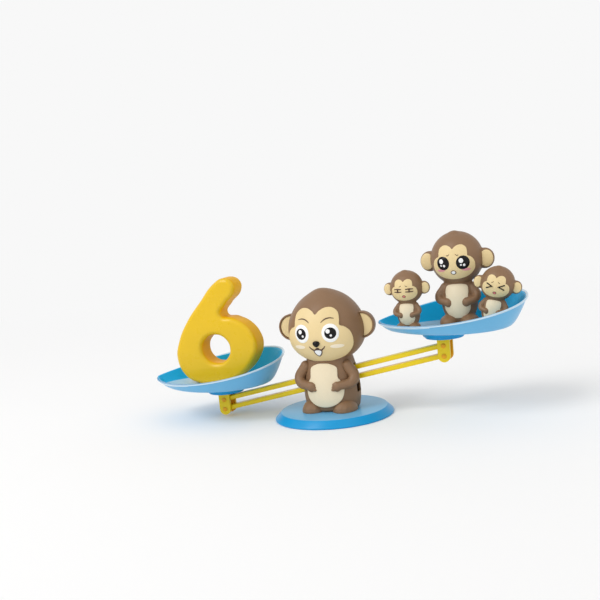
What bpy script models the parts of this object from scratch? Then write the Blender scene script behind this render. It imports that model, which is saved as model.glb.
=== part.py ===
"""Number balance: a toy monkey on a round base that carries a pair of scales.

Two bars cross the monkey's body, one above the other, each on its own axle. Their ends are
pinned to an upright bracket on each side, so that the four pins make a parallelogram and the
dishes on the brackets stay level while one side sinks. A numeral stands in the left dish and
three monkey counters stand in the right one. The monkey looks along -Y, the bars run along X,
and the origin is the centre of the base's underside. Sizes are in metres, +Z is up.
"""

import math

import bmesh
import bpy
from mathutils import Matrix, Vector

MM = 0.001
WELD = 0.001 * MM

# Fits. A seat is the gap between pieces that rest on each other.
SEAT_GAP = 0.3 * MM
RUNNING_GAP = 0.35 * MM
SIDE_PLAY = 0.4 * MM
HALF_JOINT_GAP = 0.15 * MM

# Base
BASE_RADIUS = 64.5 * MM
BASE_SIDE_RUN = 5.5 * MM
BASE_HEIGHT = 8.5 * MM
BASE_WALL = 2.4 * MM
BASE_EDGE_ROUND = 1.2 * MM
BASE_BOSS_RADIUS = 9.0 * MM
BASE_RIB_THICKNESS = 1.6 * MM
BASE_RIBS = 6
BASE_COVER_THICKNESS = 1.8 * MM

# Linkage
REST_TILT = math.radians(12.0)
PIN_SPACING = 10.8 * MM
BEAM_DEPTH = 5.0 * MM
BEAM_WIDTH = 11.0 * MM
BEAM_EDGE_ROUND = 0.6 * MM
EYE_WALL = 2.0 * MM
HUB_WALL = 2.3 * MM
PIN_RADIUS = 1.6 * MM
PIN_HEAD_RADIUS = 2.7 * MM
PIN_HEAD_HEIGHT = 1.0 * MM
AXLE_RADIUS = 2.0 * MM
AXLE_SEAT_DEPTH = 8.0 * MM
AXLE_BOSS_WALL = 1.9 * MM

TABLE_CLEARANCE = 2.6 * MM

# Brackets and dishes
BRACKET_WIDTH = 13.0 * MM
BRACKET_CHEEK = 2.8 * MM
BRACKET_BRIDGE = 2.6 * MM
BRACKET_PEG_RADIUS = 4.5 * MM
DISH_FOOT_TOP_RADIUS = 25.0 * MM
DISH_FOOT_BOTTOM_RADIUS = 20.0 * MM
FOOT_TO_BEAM_GAP = 0.9 * MM
DISH_TO_BEAM_GAP = 2.4 * MM
DISH_HALF_LENGTH = 77.0 * MM
DISH_HALF_DEPTH = 58.0 * MM
DISH_OFFSET = 8.0 * MM
DISH_WALL_RUN = 14.0 * MM
DISH_FLOOR_SHIFT = 3.0 * MM
DISH_WALL_HEIGHT = 19.0 * MM
DISH_THICKNESS = 2.2 * MM
DISH_LIP = 1.2 * MM
DISH_RISE_RIGHT = math.radians(7.5)
DISH_RISE_REAR = math.radians(8.0)
DISH_TIP_SHARPNESS = 0.25
DISH_TO_EAR_GAP = 2.8 * MM

# Body
BODY_HALF_WIDTH = 31.0 * MM
BODY_HALF_DEPTH = 26.5 * MM
BODY_WALL = 2.0 * MM
BODY_EDGE_ROUND = 4.5 * MM
BODY_BELLY_LEVEL = 0.28
BODY_NECK_TAPER = 0.26
BODY_FOOT_TAPER = 0.09
SLOT_CLEARANCE = 0.7 * MM
NECK_RISE = 15.0 * MM

# Head
HEAD_HALF_WIDTH = 42.0 * MM
HEAD_HALF_DEPTH = 36.5 * MM
HEAD_HALF_HEIGHT = 40.0 * MM
HEAD_WALL = 2.0 * MM
CHEEK_FULLNESS = 0.11
NECK_ENGAGEMENT = 12.5 * MM

# Face and belly
PLATE_THICKNESS = 1.5 * MM
FACE_HALF_WIDTH = 34.5 * MM
FACE_LOBE_SPREAD = 15.0 * MM
FACE_LOBE_TOP = 21.5 * MM
FACE_NOTCH = 13.5 * MM
FACE_WIDEST = -11.0 * MM
FACE_CHIN = -36.0 * MM
EYE_SPREAD = 15.2 * MM
EYE_HEIGHT = -6.0 * MM
EYE_HALF_WIDTH = 7.2 * MM
EYE_HALF_HEIGHT = 8.0 * MM
EYE_BULGE = 1.3 * MM
NOSE_HEIGHT = -16.5 * MM
NOSE_RADIUS = 3.4 * MM
BELLY_HALF_WIDTH = 18.5 * MM
BELLY_HALF_HEIGHT = 22.0 * MM
BELLY_HEIGHT = 28.0 * MM

# Ears and limbs
EAR_RADIUS = 14.5 * MM
EAR_THICKNESS = 9.0 * MM
EAR_OVERHANG = 12.0 * MM
EAR_DROP = 1.0 * MM
EAR_EDGE_ROUND = 2.6 * MM
EAR_HOLLOW_DEPTH = 2.4 * MM
EAR_HOLLOW_RADIUS = EAR_RADIUS - EAR_EDGE_ROUND
ARM_RADIUS = 6.0 * MM
HAND_RADIUS = 5.0 * MM
FOOT_HALF_WIDTH = 13.5 * MM
FOOT_HALF_LENGTH = 17.0 * MM
FOOT_HEIGHT = 13.0 * MM
FOOT_INSET = 14.5 * MM
FOOT_TUCK = 13.0 * MM

# Screws
SCREW_RADIUS = 1.3 * MM
SCREW_HEAD_RADIUS = 2.7 * MM
SCREW_HEAD_HEIGHT = 1.8 * MM
SCREW_HOLE_WALL = 1.8 * MM
SCREW_REACH = 8.0 * MM
BASE_SCREW_SPREAD = 16.0 * MM
BODY_SCREW_SPREAD = 13.0 * MM
BODY_SCREW_HEIGHT = 9.5 * MM
HEAD_SCREW_HEIGHT = 20.0 * MM
HEAD_SCREW_SPREAD = 17.0 * MM
SCREW_SINK = 3.0 * MM

# Numeral
NUMERAL_HEIGHT = 118.0 * MM
NUMERAL_WIDTH = 99.0 * MM
NUMERAL_THICKNESS = 27.0 * MM
NUMERAL_EDGE_ROUND = 5.0 * MM
NUMERAL_HOLE_RADIUS = 17.0 * MM
NUMERAL_FLAT = 1.6 * MM

# Counters
LARGE_COUNTER_HEIGHT = 95.0 * MM
SMALL_COUNTER_HEIGHT = 60.0 * MM
LARGE_COUNTER_PLACE = (15.0 * MM, 15.0 * MM)
LEFT_COUNTER_PLACE = (-34.0 * MM, -8.0 * MM)
RIGHT_COUNTER_PLACE = (50.0 * MM, -8.0 * MM)
RIGHT_COUNTER_LEAN = math.radians(12.0)

# Shares of a counter's height: half widths, half depths and half heights of its round forms
COUNTER_BODY = (0.20, 0.17, 0.27)
COUNTER_HEAD = (0.285, 0.25, 0.295)
COUNTER_EAR = (0.105, 0.045, 0.112)
COUNTER_FOOT = (0.10, 0.13, 0.085)

# Places that follow from the sizes above
TILT_RISE = math.tan(REST_TILT)
BEAM_HALF_RISE = 0.5 * BEAM_DEPTH / math.cos(REST_TILT)
EAR_CENTRE_X = HEAD_HALF_WIDTH + EAR_OVERHANG - EAR_RADIUS
EAR_REACH = HEAD_HALF_WIDTH + EAR_OVERHANG
HANGER_X = EAR_REACH + DISH_TO_EAR_GAP + DISH_LIP + DISH_HALF_LENGTH - DISH_OFFSET
HANGER_SWING = HANGER_X * TILT_RISE
HALF_SPAN = HANGER_X / math.cos(REST_TILT)
BODY_BOTTOM = BASE_HEIGHT + SEAT_GAP
LOWER_AXLE_Z = TABLE_CLEARANCE + 0.5 * BRACKET_WIDTH + HANGER_SWING
UPPER_AXLE_Z = LOWER_AXLE_Z + PIN_SPACING
BEAM_SWING_AT_FLANK = BODY_HALF_WIDTH * TILT_RISE + BEAM_HALF_RISE
SLOT_BOTTOM = LOWER_AXLE_Z - BEAM_SWING_AT_FLANK - SLOT_CLEARANCE
SLOT_TOP = UPPER_AXLE_Z + BEAM_SWING_AT_FLANK + SLOT_CLEARANCE
BODY_TOP = SLOT_TOP + NECK_RISE
HEAD_CENTRE = BODY_TOP - NECK_ENGAGEMENT + HEAD_HALF_HEIGHT
EYE_RADIUS = PIN_RADIUS + RUNNING_GAP + EYE_WALL
HUB_RADIUS = AXLE_RADIUS + RUNNING_GAP + HUB_WALL
AXLE_BOSS_INNER = 0.5 * BEAM_WIDTH + 2.0 * SIDE_PLAY

# Heights on a hanger, counted from its upper pin
BRACKET_INNER = 0.5 * BEAM_WIDTH + SIDE_PLAY
BRACKET_OUTER = BRACKET_INNER + BRACKET_CHEEK
BEAM_SWING_AT_FOOT = DISH_FOOT_BOTTOM_RADIUS * TILT_RISE + BEAM_HALF_RISE
BRACKET_TOP = max(
    BEAM_SWING_AT_FOOT + FOOT_TO_BEAM_GAP - SEAT_GAP,
    EYE_RADIUS + 2.0 * SIDE_PLAY + BRACKET_BRIDGE,
)
BRIDGE_BOTTOM = BRACKET_TOP - BRACKET_BRIDGE
FOOT_BOTTOM = BRACKET_TOP + SEAT_GAP
DISH_FLOOR_REACH = DISH_HALF_LENGTH - DISH_WALL_RUN + DISH_FLOOR_SHIFT - DISH_OFFSET
DISH_UNDERSIDE = DISH_FLOOR_REACH * TILT_RISE + BEAM_HALF_RISE + DISH_TO_BEAM_GAP
DISH_FOOT_HEIGHT = DISH_UNDERSIDE - SEAT_GAP - FOOT_BOTTOM
LOAD_LEVEL = DISH_UNDERSIDE + DISH_THICKNESS + SEAT_GAP

# Colours as sRGB, then roughness and metallic value
LOOKS = {
    "brown_plastic": ((0.54, 0.42, 0.32), 0.42, 0.0),
    "beige_plastic": ((0.90, 0.83, 0.65), 0.45, 0.0),
    "black_gloss": ((0.03, 0.03, 0.035), 0.12, 0.0),
    "yellow_plastic": ((0.90, 0.80, 0.08), 0.38, 0.0),
    "numeral_plastic": ((0.93, 0.73, 0.09), 0.30, 0.0),
    "sky_blue_plastic": ((0.48, 0.72, 0.86), 0.28, 0.0),
    "deep_blue_plastic": ((0.12, 0.58, 0.79), 0.32, 0.0),
    "steel": ((0.72, 0.72, 0.74), 0.30, 1.0),
    "bronze_pin": ((0.78, 0.60, 0.14), 0.35, 0.0),
}


def linear(value):
    """One sRGB channel as scene-linear light."""
    return value / 12.92 if value <= 0.04045 else ((value + 0.055) / 1.055) ** 2.4


def material(name):
    """The named plastic or metal, made once."""
    found = bpy.data.materials.get(name)
    if found:
        return found
    colour, roughness, metallic = LOOKS[name]
    made = bpy.data.materials.new(name)
    made.use_nodes = True
    shader = made.node_tree.nodes["Principled BSDF"]
    shader.inputs["Base Color"].default_value = (*[linear(channel) for channel in colour], 1.0)
    shader.inputs["Roughness"].default_value = roughness
    shader.inputs["Metallic"].default_value = metallic
    return made


def clear_scene():
    for old in list(bpy.data.objects):
        bpy.data.objects.remove(old)


def collection(name):
    made = bpy.data.collections.new(name)
    bpy.context.scene.collection.children.link(made)
    return made


def add(name, data, place="tools"):
    """A new object with this data in the tools or the parts collection."""
    made = bpy.data.objects.new(name, data)
    bpy.data.collections[place].objects.link(made)
    return made


def evaluated_mesh(obj):
    bpy.context.view_layer.update()
    graph = bpy.context.evaluated_depsgraph_get()
    return bpy.data.meshes.new_from_object(obj.evaluated_get(graph))


def welded(mesh):
    """Joins doubled points, such as a curve's caps to its sides."""
    shape = bmesh.new()
    shape.from_mesh(mesh)
    bmesh.ops.remove_doubles(shape, verts=shape.verts, dist=WELD)
    bmesh.ops.dissolve_degenerate(shape, dist=WELD, edges=shape.edges)
    bmesh.ops.recalc_face_normals(shape, faces=shape.faces)
    shape.to_mesh(mesh)
    shape.free()
    return mesh


def baked(obj):
    """The object as a mesh object with its modifiers applied."""
    mesh = welded(evaluated_mesh(obj))
    made = add(obj.name + "_mesh", mesh)
    made.matrix_world = obj.matrix_world.copy()
    name = obj.name
    bpy.data.objects.remove(obj)
    made.name = name
    return made


def combine(obj, tool, operation):
    """Boolean of two mesh objects in place. The tool is used up."""
    bpy.context.view_layer.update()
    modifier = obj.modifiers.new("combine", "BOOLEAN")
    modifier.operation = operation
    modifier.solver = "EXACT"
    modifier.object = tool
    mesh = welded(evaluated_mesh(obj))
    obj.modifiers.remove(modifier)
    obj.data = mesh
    bpy.data.objects.remove(tool)
    return obj


def cut(obj, *tools):
    for tool in tools:
        combine(obj, tool, "DIFFERENCE")
    return obj


def join(obj, *tools):
    for tool in tools:
        combine(obj, tool, "UNION")
    return obj


def keep_inside(obj, tool):
    return combine(obj, tool, "INTERSECT")


def finish(obj, name, look, smooth_angle=35.0, parent=None):
    """Names a finished piece, gives it its material and moves it to the parts."""
    obj.name = name
    obj.data.name = name
    obj.data.materials.clear()
    obj.data.materials.append(material(look))
    obj.data.shade_smooth()
    obj.data.set_sharp_from_angle(angle=math.radians(smooth_angle))
    bpy.data.collections["tools"].objects.unlink(obj)
    bpy.data.collections["number_balance"].objects.link(obj)
    if parent:
        obj.parent = parent
    return obj


def box(name, low, high):
    """A box between two corners."""
    shape = bmesh.new()
    bmesh.ops.create_cube(shape, size=1.0)
    size = Vector(high) - Vector(low)
    middle = (Vector(high) + Vector(low)) / 2.0
    bmesh.ops.scale(shape, vec=size, verts=shape.verts)
    bmesh.ops.translate(shape, vec=middle, verts=shape.verts)
    mesh = bpy.data.meshes.new(name)
    shape.to_mesh(mesh)
    shape.free()
    return add(name, mesh)


def rod(name, radius, start, end, sides=16):
    """A cylinder from one point to another."""
    start = Vector(start)
    end = Vector(end)
    shape = bmesh.new()
    depth = (end - start).length
    bmesh.ops.create_cone(
        shape, cap_ends=True, segments=sides, radius1=radius, radius2=radius, depth=depth
    )
    turn = Vector((0.0, 0.0, 1.0)).rotation_difference(end - start).to_matrix().to_4x4()
    bmesh.ops.transform(shape, matrix=Matrix.Translation((start + end) / 2.0) @ turn, verts=shape.verts)
    mesh = bpy.data.meshes.new(name)
    shape.to_mesh(mesh)
    shape.free()
    return add(name, mesh)


def ball(name, centre, radii, sides=16, rings=10):
    """An ellipsoid."""
    shape = bmesh.new()
    bmesh.ops.create_uvsphere(shape, u_segments=sides, v_segments=rings, radius=1.0)
    bmesh.ops.scale(shape, vec=radii, verts=shape.verts)
    bmesh.ops.translate(shape, vec=centre, verts=shape.verts)
    mesh = bpy.data.meshes.new(name)
    shape.to_mesh(mesh)
    shape.free()
    return add(name, mesh)


def turned(name, profile, steps=32, closed=False):
    """A profile of (radius, height) points, top to bottom on its outer side, turned about Z."""
    mesh = bpy.data.meshes.new(name)
    points = [(radius, 0.0, height) for radius, height in profile]
    edges = [(index, index + 1) for index in range(len(points) - 1)]
    if closed:
        edges.append((len(points) - 1, 0))
    mesh.from_pydata(points, edges, [])
    made = add(name, mesh)
    screw = made.modifiers.new("turn", "SCREW")
    screw.axis = "Z"
    screw.steps = steps
    screw.render_steps = steps
    screw.use_merge_vertices = True
    screw.merge_threshold = 0.01 * MM
    return baked(made)


def flat_shape(name, outlines, thickness, edge_round=0.0, fineness=6):
    """Closed smooth outlines in the XZ plane, extruded along Y and centred on it.

    Each outline is a list of (x, z) points; the curve passes through all of them.
    """
    curve = bpy.data.curves.new(name, "CURVE")
    curve.dimensions = "2D"
    curve.fill_mode = "BOTH"
    curve.resolution_u = fineness
    curve.extrude = 0.5 * thickness - edge_round
    curve.bevel_depth = edge_round
    curve.bevel_resolution = 1
    curve.offset = -edge_round
    for outline in outlines:
        spline = curve.splines.new("BEZIER")
        spline.bezier_points.add(len(outline) - 1)
        spline.use_cyclic_u = True
        for point, (x, z) in zip(spline.bezier_points, outline):
            point.co = (x, z, 0.0)
            point.handle_left_type = "AUTO"
            point.handle_right_type = "AUTO"
    made = add(name, curve)
    made.rotation_euler.x = math.radians(90.0)
    made = baked(made)
    made.data.transform(made.matrix_world)
    made.matrix_world = Matrix.Identity(4)
    return made


def oval(centre_x, centre_z, half_width, half_height, count=12):
    """Points round an ellipse."""
    angles = [math.tau * index / count for index in range(count)]
    return [
        (centre_x + half_width * math.cos(angle), centre_z + half_height * math.sin(angle))
        for angle in angles
    ]


def limb(name, start, bend, end, start_radius, end_radius, rings=9, fineness=3):
    """A soft tube with round ends that bends from one point past another to a third."""
    curve = bpy.data.curves.new(name, "CURVE")
    curve.dimensions = "3D"
    curve.bevel_depth = 1.0
    curve.bevel_resolution = fineness
    curve.use_fill_caps = True
    spline = curve.splines.new("POLY")
    spline.points.add(rings - 1)
    start, bend, end = Vector(start), Vector(bend), Vector(end)
    for index, point in enumerate(spline.points):
        angle = math.pi * index / (rings - 1)
        share = 0.5 - 0.5 * math.cos(angle)
        place = start * (1 - share) ** 2 + bend * 2 * share * (1 - share) + end * share ** 2
        roundness = math.sqrt(max(1.0 - (2.0 * share - 1.0) ** 8, 0.0))
        point.co = (*place, 1.0)
        point.radius = (start_radius * (1 - share) + end_radius * share) * max(roundness, 0.18)
    return baked(add(name, curve))


def body_half_width(height):
    """Half the body's width at this share of its height: widest at the belly, less at the neck."""
    belly = BODY_BELLY_LEVEL
    if height > belly:
        return BODY_HALF_WIDTH * (1.0 - BODY_NECK_TAPER * ((height - belly) / (1.0 - belly)) ** 2)
    return BODY_HALF_WIDTH * (1.0 - BODY_FOOT_TAPER * ((belly - height) / belly) ** 2)


def body_form(grow, steps=26):
    """The body's outer form, swelled by this much."""
    bottom = BODY_BOTTOM - grow
    top = BODY_TOP + grow
    edge = BODY_EDGE_ROUND
    stations = 6
    side = []
    for index in range(stations + 1):
        share = 1.0 - index / stations
        height = bottom + edge + (top - bottom - 2.0 * edge) * share
        side.append((body_half_width((height - bottom) / (top - bottom)) + grow, height))
    bevel = math.sin(math.radians(45.0))
    top_radius, bottom_radius = side[0][0], side[-1][0]
    profile = [(0.0, top), (top_radius - edge, top)]
    profile.append((top_radius - edge + edge * bevel, top - edge + edge * bevel))
    profile += side
    profile.append((bottom_radius - edge + edge * bevel, bottom + edge - edge * bevel))
    profile += [(bottom_radius - edge, bottom), (0.0, bottom)]
    form = turned("body_form", profile, steps)
    squeeze = (BODY_HALF_DEPTH + grow) / (BODY_HALF_WIDTH + grow)
    form.data.transform(Matrix.Diagonal((1.0, squeeze, 1.0, 1.0)))
    return form


def head_form(grow, sides=24, rings=12):
    """The head's outer form, a ball that is fuller at the cheeks, swelled by this much."""
    shape = bmesh.new()
    bmesh.ops.create_uvsphere(shape, u_segments=sides, v_segments=rings, radius=1.0)
    for vertex in shape.verts:
        fullness = 1.0 - CHEEK_FULLNESS * vertex.co.z
        vertex.co.x *= fullness * (HEAD_HALF_WIDTH + grow)
        vertex.co.y *= fullness * (HEAD_HALF_DEPTH + grow)
        vertex.co.z *= HEAD_HALF_HEIGHT + grow
    bmesh.ops.translate(shape, vec=(0.0, 0.0, HEAD_CENTRE), verts=shape.verts)
    mesh = bpy.data.meshes.new("head_form")
    shape.to_mesh(mesh)
    shape.free()
    return add("head_form", mesh)


def front_half(gap):
    reach = 4.0 * (HEAD_HALF_WIDTH + BODY_HALF_WIDTH)
    return box("front_half", (-reach, -reach, -reach), (reach, -gap, 2.0 * reach))


def back_half(gap):
    reach = 4.0 * (HEAD_HALF_WIDTH + BODY_HALF_WIDTH)
    return box("back_half", (-reach, gap, -reach), (reach, reach, 2.0 * reach))


def half_shell(form, wall, side):
    """Half of a hollow form. The side is -1 for the front half and 1 for the back half."""
    shell = cut(form(0.0), form(-wall))
    half = front_half(HALF_JOINT_GAP) if side < 0 else back_half(HALF_JOINT_GAP)
    return keep_inside(shell, half)


def inner_boss(form, wall, radius, x, z, from_y, side):
    """A round boss from the inside of the wall to from_y. It meets the wall within its thickness."""
    reach = BODY_HALF_DEPTH + HEAD_HALF_DEPTH
    boss = rod("boss", radius, (x, side * from_y, z), (x, side * reach, z), sides=14)
    return keep_inside(boss, form(-0.5 * wall))


def slot_tool():
    """The opening in both flanks that the two bars swing in."""
    half = 0.5 * BEAM_WIDTH + 2.0 * SIDE_PLAY
    reach = 2.0 * BODY_HALF_WIDTH
    return box("slot", (-reach, -half, SLOT_BOTTOM), (reach, half, SLOT_TOP))


def screw_hole(x, z, start_y, end_y):
    return rod("hole", SCREW_RADIUS + SEAT_GAP, (x, start_y, z), (x, end_y, z), sides=10)


def surface_depth(half_width, half_depth, x):
    """How far out the elliptical outline lies at this x."""
    return half_depth * math.sqrt(1.0 - (x / half_width) ** 2)


def shell_screw(name, x, z, surface):
    """A screw that goes in from behind, with its head sunk below the surface."""
    head_top = surface - SCREW_SINK
    head_under = head_top - SCREW_HEAD_HEIGHT
    shank_top = head_under + 0.2 * SCREW_HEAD_HEIGHT
    shank = rod("shank", SCREW_RADIUS, (x, shank_top, z), (x, -SCREW_REACH, z), 10)
    head = rod("head", SCREW_HEAD_RADIUS, (x, head_under, z), (x, head_top, z), 12)
    return finish(join(shank, head), name, "steel")


def add_screw_posts(shell, form, wall, x, z, surface, side):
    """Gives a half shell its screw post and hole; the back half also gets the sunk seat."""
    radius = SCREW_RADIUS + SEAT_GAP + SCREW_HOLE_WALL
    seat = surface - SCREW_SINK - SCREW_HEAD_HEIGHT - SEAT_GAP
    if side > 0:
        radius = SCREW_HEAD_RADIUS + SEAT_GAP + SCREW_HOLE_WALL
    join(shell, inner_boss(form, wall, radius, x, z, HALF_JOINT_GAP, side))
    if side < 0:
        cut(shell, screw_hole(x, z, 0.0, -SCREW_REACH - SEAT_GAP))
        return shell
    sunk = rod("sunk", SCREW_HEAD_RADIUS + SEAT_GAP, (x, seat, z), (x, 2.0 * surface, z), 12)
    return cut(shell, join(sunk, screw_hole(x, z, -HALF_JOINT_GAP, seat + SEAT_GAP)))


def body_screw_places():
    z = BODY_BOTTOM + BODY_SCREW_HEIGHT
    depth = surface_depth(BODY_HALF_WIDTH, BODY_HALF_DEPTH, BODY_SCREW_SPREAD)
    return [("left", -BODY_SCREW_SPREAD, z, depth), ("right", BODY_SCREW_SPREAD, z, depth)]


def head_screw_places():
    z = HEAD_CENTRE + HEAD_SCREW_HEIGHT
    share = math.sqrt(1.0 - (HEAD_SCREW_HEIGHT / HEAD_HALF_HEIGHT) ** 2)
    fullness = share * (1.0 - CHEEK_FULLNESS * HEAD_SCREW_HEIGHT / HEAD_HALF_HEIGHT)
    depth = surface_depth(HEAD_HALF_WIDTH * fullness, HEAD_HALF_DEPTH * fullness, HEAD_SCREW_SPREAD)
    return [("left", -HEAD_SCREW_SPREAD, z, depth), ("right", HEAD_SCREW_SPREAD, z, depth)]


def make_body_shell(name, side):
    shell = half_shell(body_form, BODY_WALL, side)
    boss_radius = AXLE_RADIUS + SEAT_GAP + AXLE_BOSS_WALL
    for z in (LOWER_AXLE_Z, UPPER_AXLE_Z):
        join(shell, inner_boss(body_form, BODY_WALL, boss_radius, 0.0, z, AXLE_BOSS_INNER, side))
        deep = side * (AXLE_BOSS_INNER + AXLE_SEAT_DEPTH)
        cut(shell, rod("socket", AXLE_RADIUS + SEAT_GAP, (0.0, 0.0, z), (0.0, deep, z)))
    for _, x, z, surface in body_screw_places():
        add_screw_posts(shell, body_form, BODY_WALL, x, z, surface, side)
    floor_y = side * BASE_SCREW_SPREAD
    post_top = BODY_BOTTOM + SCREW_REACH
    post = rod("post", SCREW_RADIUS + SEAT_GAP + SCREW_HOLE_WALL,
               (0.0, floor_y, BODY_BOTTOM + 0.5 * BODY_WALL), (0.0, floor_y, post_top), 14)
    join(shell, keep_inside(post, body_form(-0.5 * BODY_WALL)))
    hole = rod("hole", SCREW_RADIUS + SEAT_GAP,
               (0.0, floor_y, 0.0), (0.0, floor_y, post_top + BODY_WALL), 10)
    cut(shell, hole, slot_tool())
    return finish(shell, name, "brown_plastic")


def make_head_shell(name, side):
    shell = half_shell(head_form, HEAD_WALL, side)
    for _, x, z, surface in head_screw_places():
        add_screw_posts(shell, head_form, HEAD_WALL, x, z, surface, side)
    cut(shell, body_form(SEAT_GAP))
    return finish(shell, name, "brown_plastic")


def face_outline(grow=0.0):
    """The face's edge from the front: two lobes over the eyes, a notch between, round cheeks."""
    right = [
        (0.55 * FACE_LOBE_SPREAD, FACE_LOBE_TOP - 1.5 * MM + grow),
        (1.1 * FACE_LOBE_SPREAD, FACE_LOBE_TOP + grow),
        (0.84 * FACE_HALF_WIDTH + grow, 0.5 * FACE_LOBE_TOP + grow),
        (FACE_HALF_WIDTH + grow, FACE_WIDEST),
        (0.68 * FACE_HALF_WIDTH + grow, 0.86 * FACE_CHIN - grow),
    ]
    left = [(-x, z) for x, z in reversed(right)]
    return [(0.0, FACE_NOTCH + grow)] + right + [(0.0, FACE_CHIN - grow)] + left


def prism_ahead(outline, centre_z):
    """A closed outline pushed forward from the middle plane, as a tool."""
    reach = 2.0 * (HEAD_HALF_DEPTH + BODY_HALF_DEPTH)
    tool = flat_shape("prism", [outline], reach, fineness=4)
    tool.data.transform(Matrix.Translation((0.0, -0.5 * reach - SCREW_REACH, centre_z)))
    return tool


def make_face_plate():
    plate = keep_inside(head_form(SEAT_GAP + PLATE_THICKNESS), prism_ahead(face_outline(), HEAD_CENTRE))
    cut(plate, head_form(SEAT_GAP), body_form(SEAT_GAP))
    return finish(plate, "face_plate", "beige_plastic")


def belly_outline(grow=0.0):
    return oval(0.0, BODY_BOTTOM + BELLY_HEIGHT, BELLY_HALF_WIDTH + grow, BELLY_HALF_HEIGHT + grow)


def belly_solid(grow):
    """The belly plate's outer form with the body still inside it."""
    outer = body_form(SEAT_GAP + PLATE_THICKNESS + grow)
    return keep_inside(outer, prism_ahead(belly_outline(grow), 0.0))


def make_belly_plate():
    plate = cut(belly_solid(0.0), body_form(SEAT_GAP))
    return finish(plate, "belly_plate", "beige_plastic")


def face_depth(x, z):
    """How far forward the bare head lies at this place of the face."""
    share = math.sqrt(1.0 - (z / HEAD_HALF_HEIGHT) ** 2)
    fullness = share * (1.0 - CHEEK_FULLNESS * z / HEAD_HALF_HEIGHT)
    return surface_depth(HEAD_HALF_WIDTH * fullness, HEAD_HALF_DEPTH * fullness, x)


def make_eye(name, side):
    x = side * EYE_SPREAD
    surface = face_depth(x, EYE_HEIGHT) + SEAT_GAP + PLATE_THICKNESS
    slope = math.atan2(x * HEAD_HALF_DEPTH ** 2, surface * HEAD_HALF_WIDTH ** 2)
    eye = ball("eye", (0.0, 0.0, 0.0), (EYE_HALF_WIDTH, 2.0 * EYE_BULGE, EYE_HALF_HEIGHT), 16, 8)
    eye.data.transform(Matrix.Rotation(slope, 4, "Z"))
    sunk = surface - EYE_BULGE
    eye.data.transform(Matrix.Translation((x, -sunk, HEAD_CENTRE + EYE_HEIGHT)))
    cut(eye, head_form(2.0 * SEAT_GAP + PLATE_THICKNESS))
    return finish(eye, name, "black_gloss", 50.0)


def make_nose():
    surface = face_depth(0.0, NOSE_HEIGHT) + SEAT_GAP + PLATE_THICKNESS
    centre = (0.0, -surface, HEAD_CENTRE + NOSE_HEIGHT)
    nose = ball("nose", centre, (1.15 * NOSE_RADIUS, 0.9 * NOSE_RADIUS, 0.85 * NOSE_RADIUS), 16, 8)
    cut(nose, head_form(2.0 * SEAT_GAP + PLATE_THICKNESS))
    return finish(nose, "nose", "black_gloss", 50.0)


def ear_centre(side):
    return Vector((side * EAR_CENTRE_X, 0.0, HEAD_CENTRE - EAR_DROP))


def turned_to_front(obj, centre):
    """Stands a turned piece up, so that its axis points forward, and moves it to its place."""
    obj.data.transform(Matrix.Translation(centre) @ Matrix.Rotation(math.radians(90.0), 4, "X"))
    return obj


def make_ear(name, side):
    """A round ear with a hollow in front, cut to the side of the head."""
    half = 0.5 * EAR_THICKNESS
    straight = half - EAR_EDGE_ROUND
    edge = []
    for index in range(6):
        angle = math.radians(90.0 - 36.0 * index)
        across = EAR_HOLLOW_RADIUS + EAR_EDGE_ROUND * math.cos(angle)
        along = EAR_EDGE_ROUND * math.sin(angle) + math.copysign(straight, math.sin(angle))
        edge.append((across, along))
    hollow = half - EAR_HOLLOW_DEPTH
    profile = [(0.0, hollow), (EAR_HOLLOW_RADIUS, hollow)] + edge + [(0.0, -half)]
    ear = turned_to_front(turned("ear", profile, 24), ear_centre(side))
    return finish(cut(ear, head_form(SEAT_GAP)), name, "brown_plastic", 45.0)


def make_inner_ear(name, side):
    """The pale disc in the hollow of the ear, slightly domed."""
    radius = EAR_HOLLOW_RADIUS - SEAT_GAP
    bottom = 0.5 * EAR_THICKNESS - EAR_HOLLOW_DEPTH + SEAT_GAP
    face = 0.5 * EAR_THICKNESS
    profile = [(0.0, face), (0.7 * radius, 0.9 * face), (radius, 0.75 * face)]
    profile += [(radius, bottom), (0.0, bottom)]
    disc = turned_to_front(turned("inner_ear", profile, 24), ear_centre(side))
    return finish(cut(disc, head_form(SEAT_GAP)), name, "beige_plastic", 45.0)


def make_arm(name, side):
    """An arm that lies along the body from the shoulder to the belly, in front of the slot."""
    ahead = 0.5 * BEAM_WIDTH + 2.0 * SIDE_PLAY + ARM_RADIUS
    shoulder = (side * 0.76 * BODY_HALF_WIDTH, -ahead, SLOT_TOP + 0.5 * ARM_RADIUS)
    elbow = (side * 1.02 * BODY_HALF_WIDTH, -ahead - 0.6 * ARM_RADIUS, LOWER_AXLE_Z)
    hand = (side * 0.72 * BELLY_HALF_WIDTH, -BODY_HALF_DEPTH + 0.4 * HAND_RADIUS, LOWER_AXLE_Z)
    arm = limb("arm", shoulder, elbow, hand, ARM_RADIUS, HAND_RADIUS)
    cut(arm, body_form(SEAT_GAP), belly_solid(SEAT_GAP), head_form(2.0 * SEAT_GAP + PLATE_THICKNESS))
    return finish(arm, name, "brown_plastic", 50.0)


def make_foot(name, side):
    """A round foot on the base, cut to the body behind it."""
    centre = (side * (BODY_HALF_WIDTH - FOOT_INSET), FOOT_TUCK - BODY_HALF_DEPTH, BODY_BOTTOM)
    foot = ball("foot", centre, (FOOT_HALF_WIDTH, FOOT_HALF_LENGTH, FOOT_HEIGHT), 18, 12)
    reach = 4.0 * FOOT_HALF_LENGTH
    cut(foot, box("below", (-reach, -reach, -reach), (reach, reach, BODY_BOTTOM)))
    cut(foot, belly_solid(SEAT_GAP), body_form(SEAT_GAP))
    return finish(foot, name, "brown_plastic", 50.0)


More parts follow.
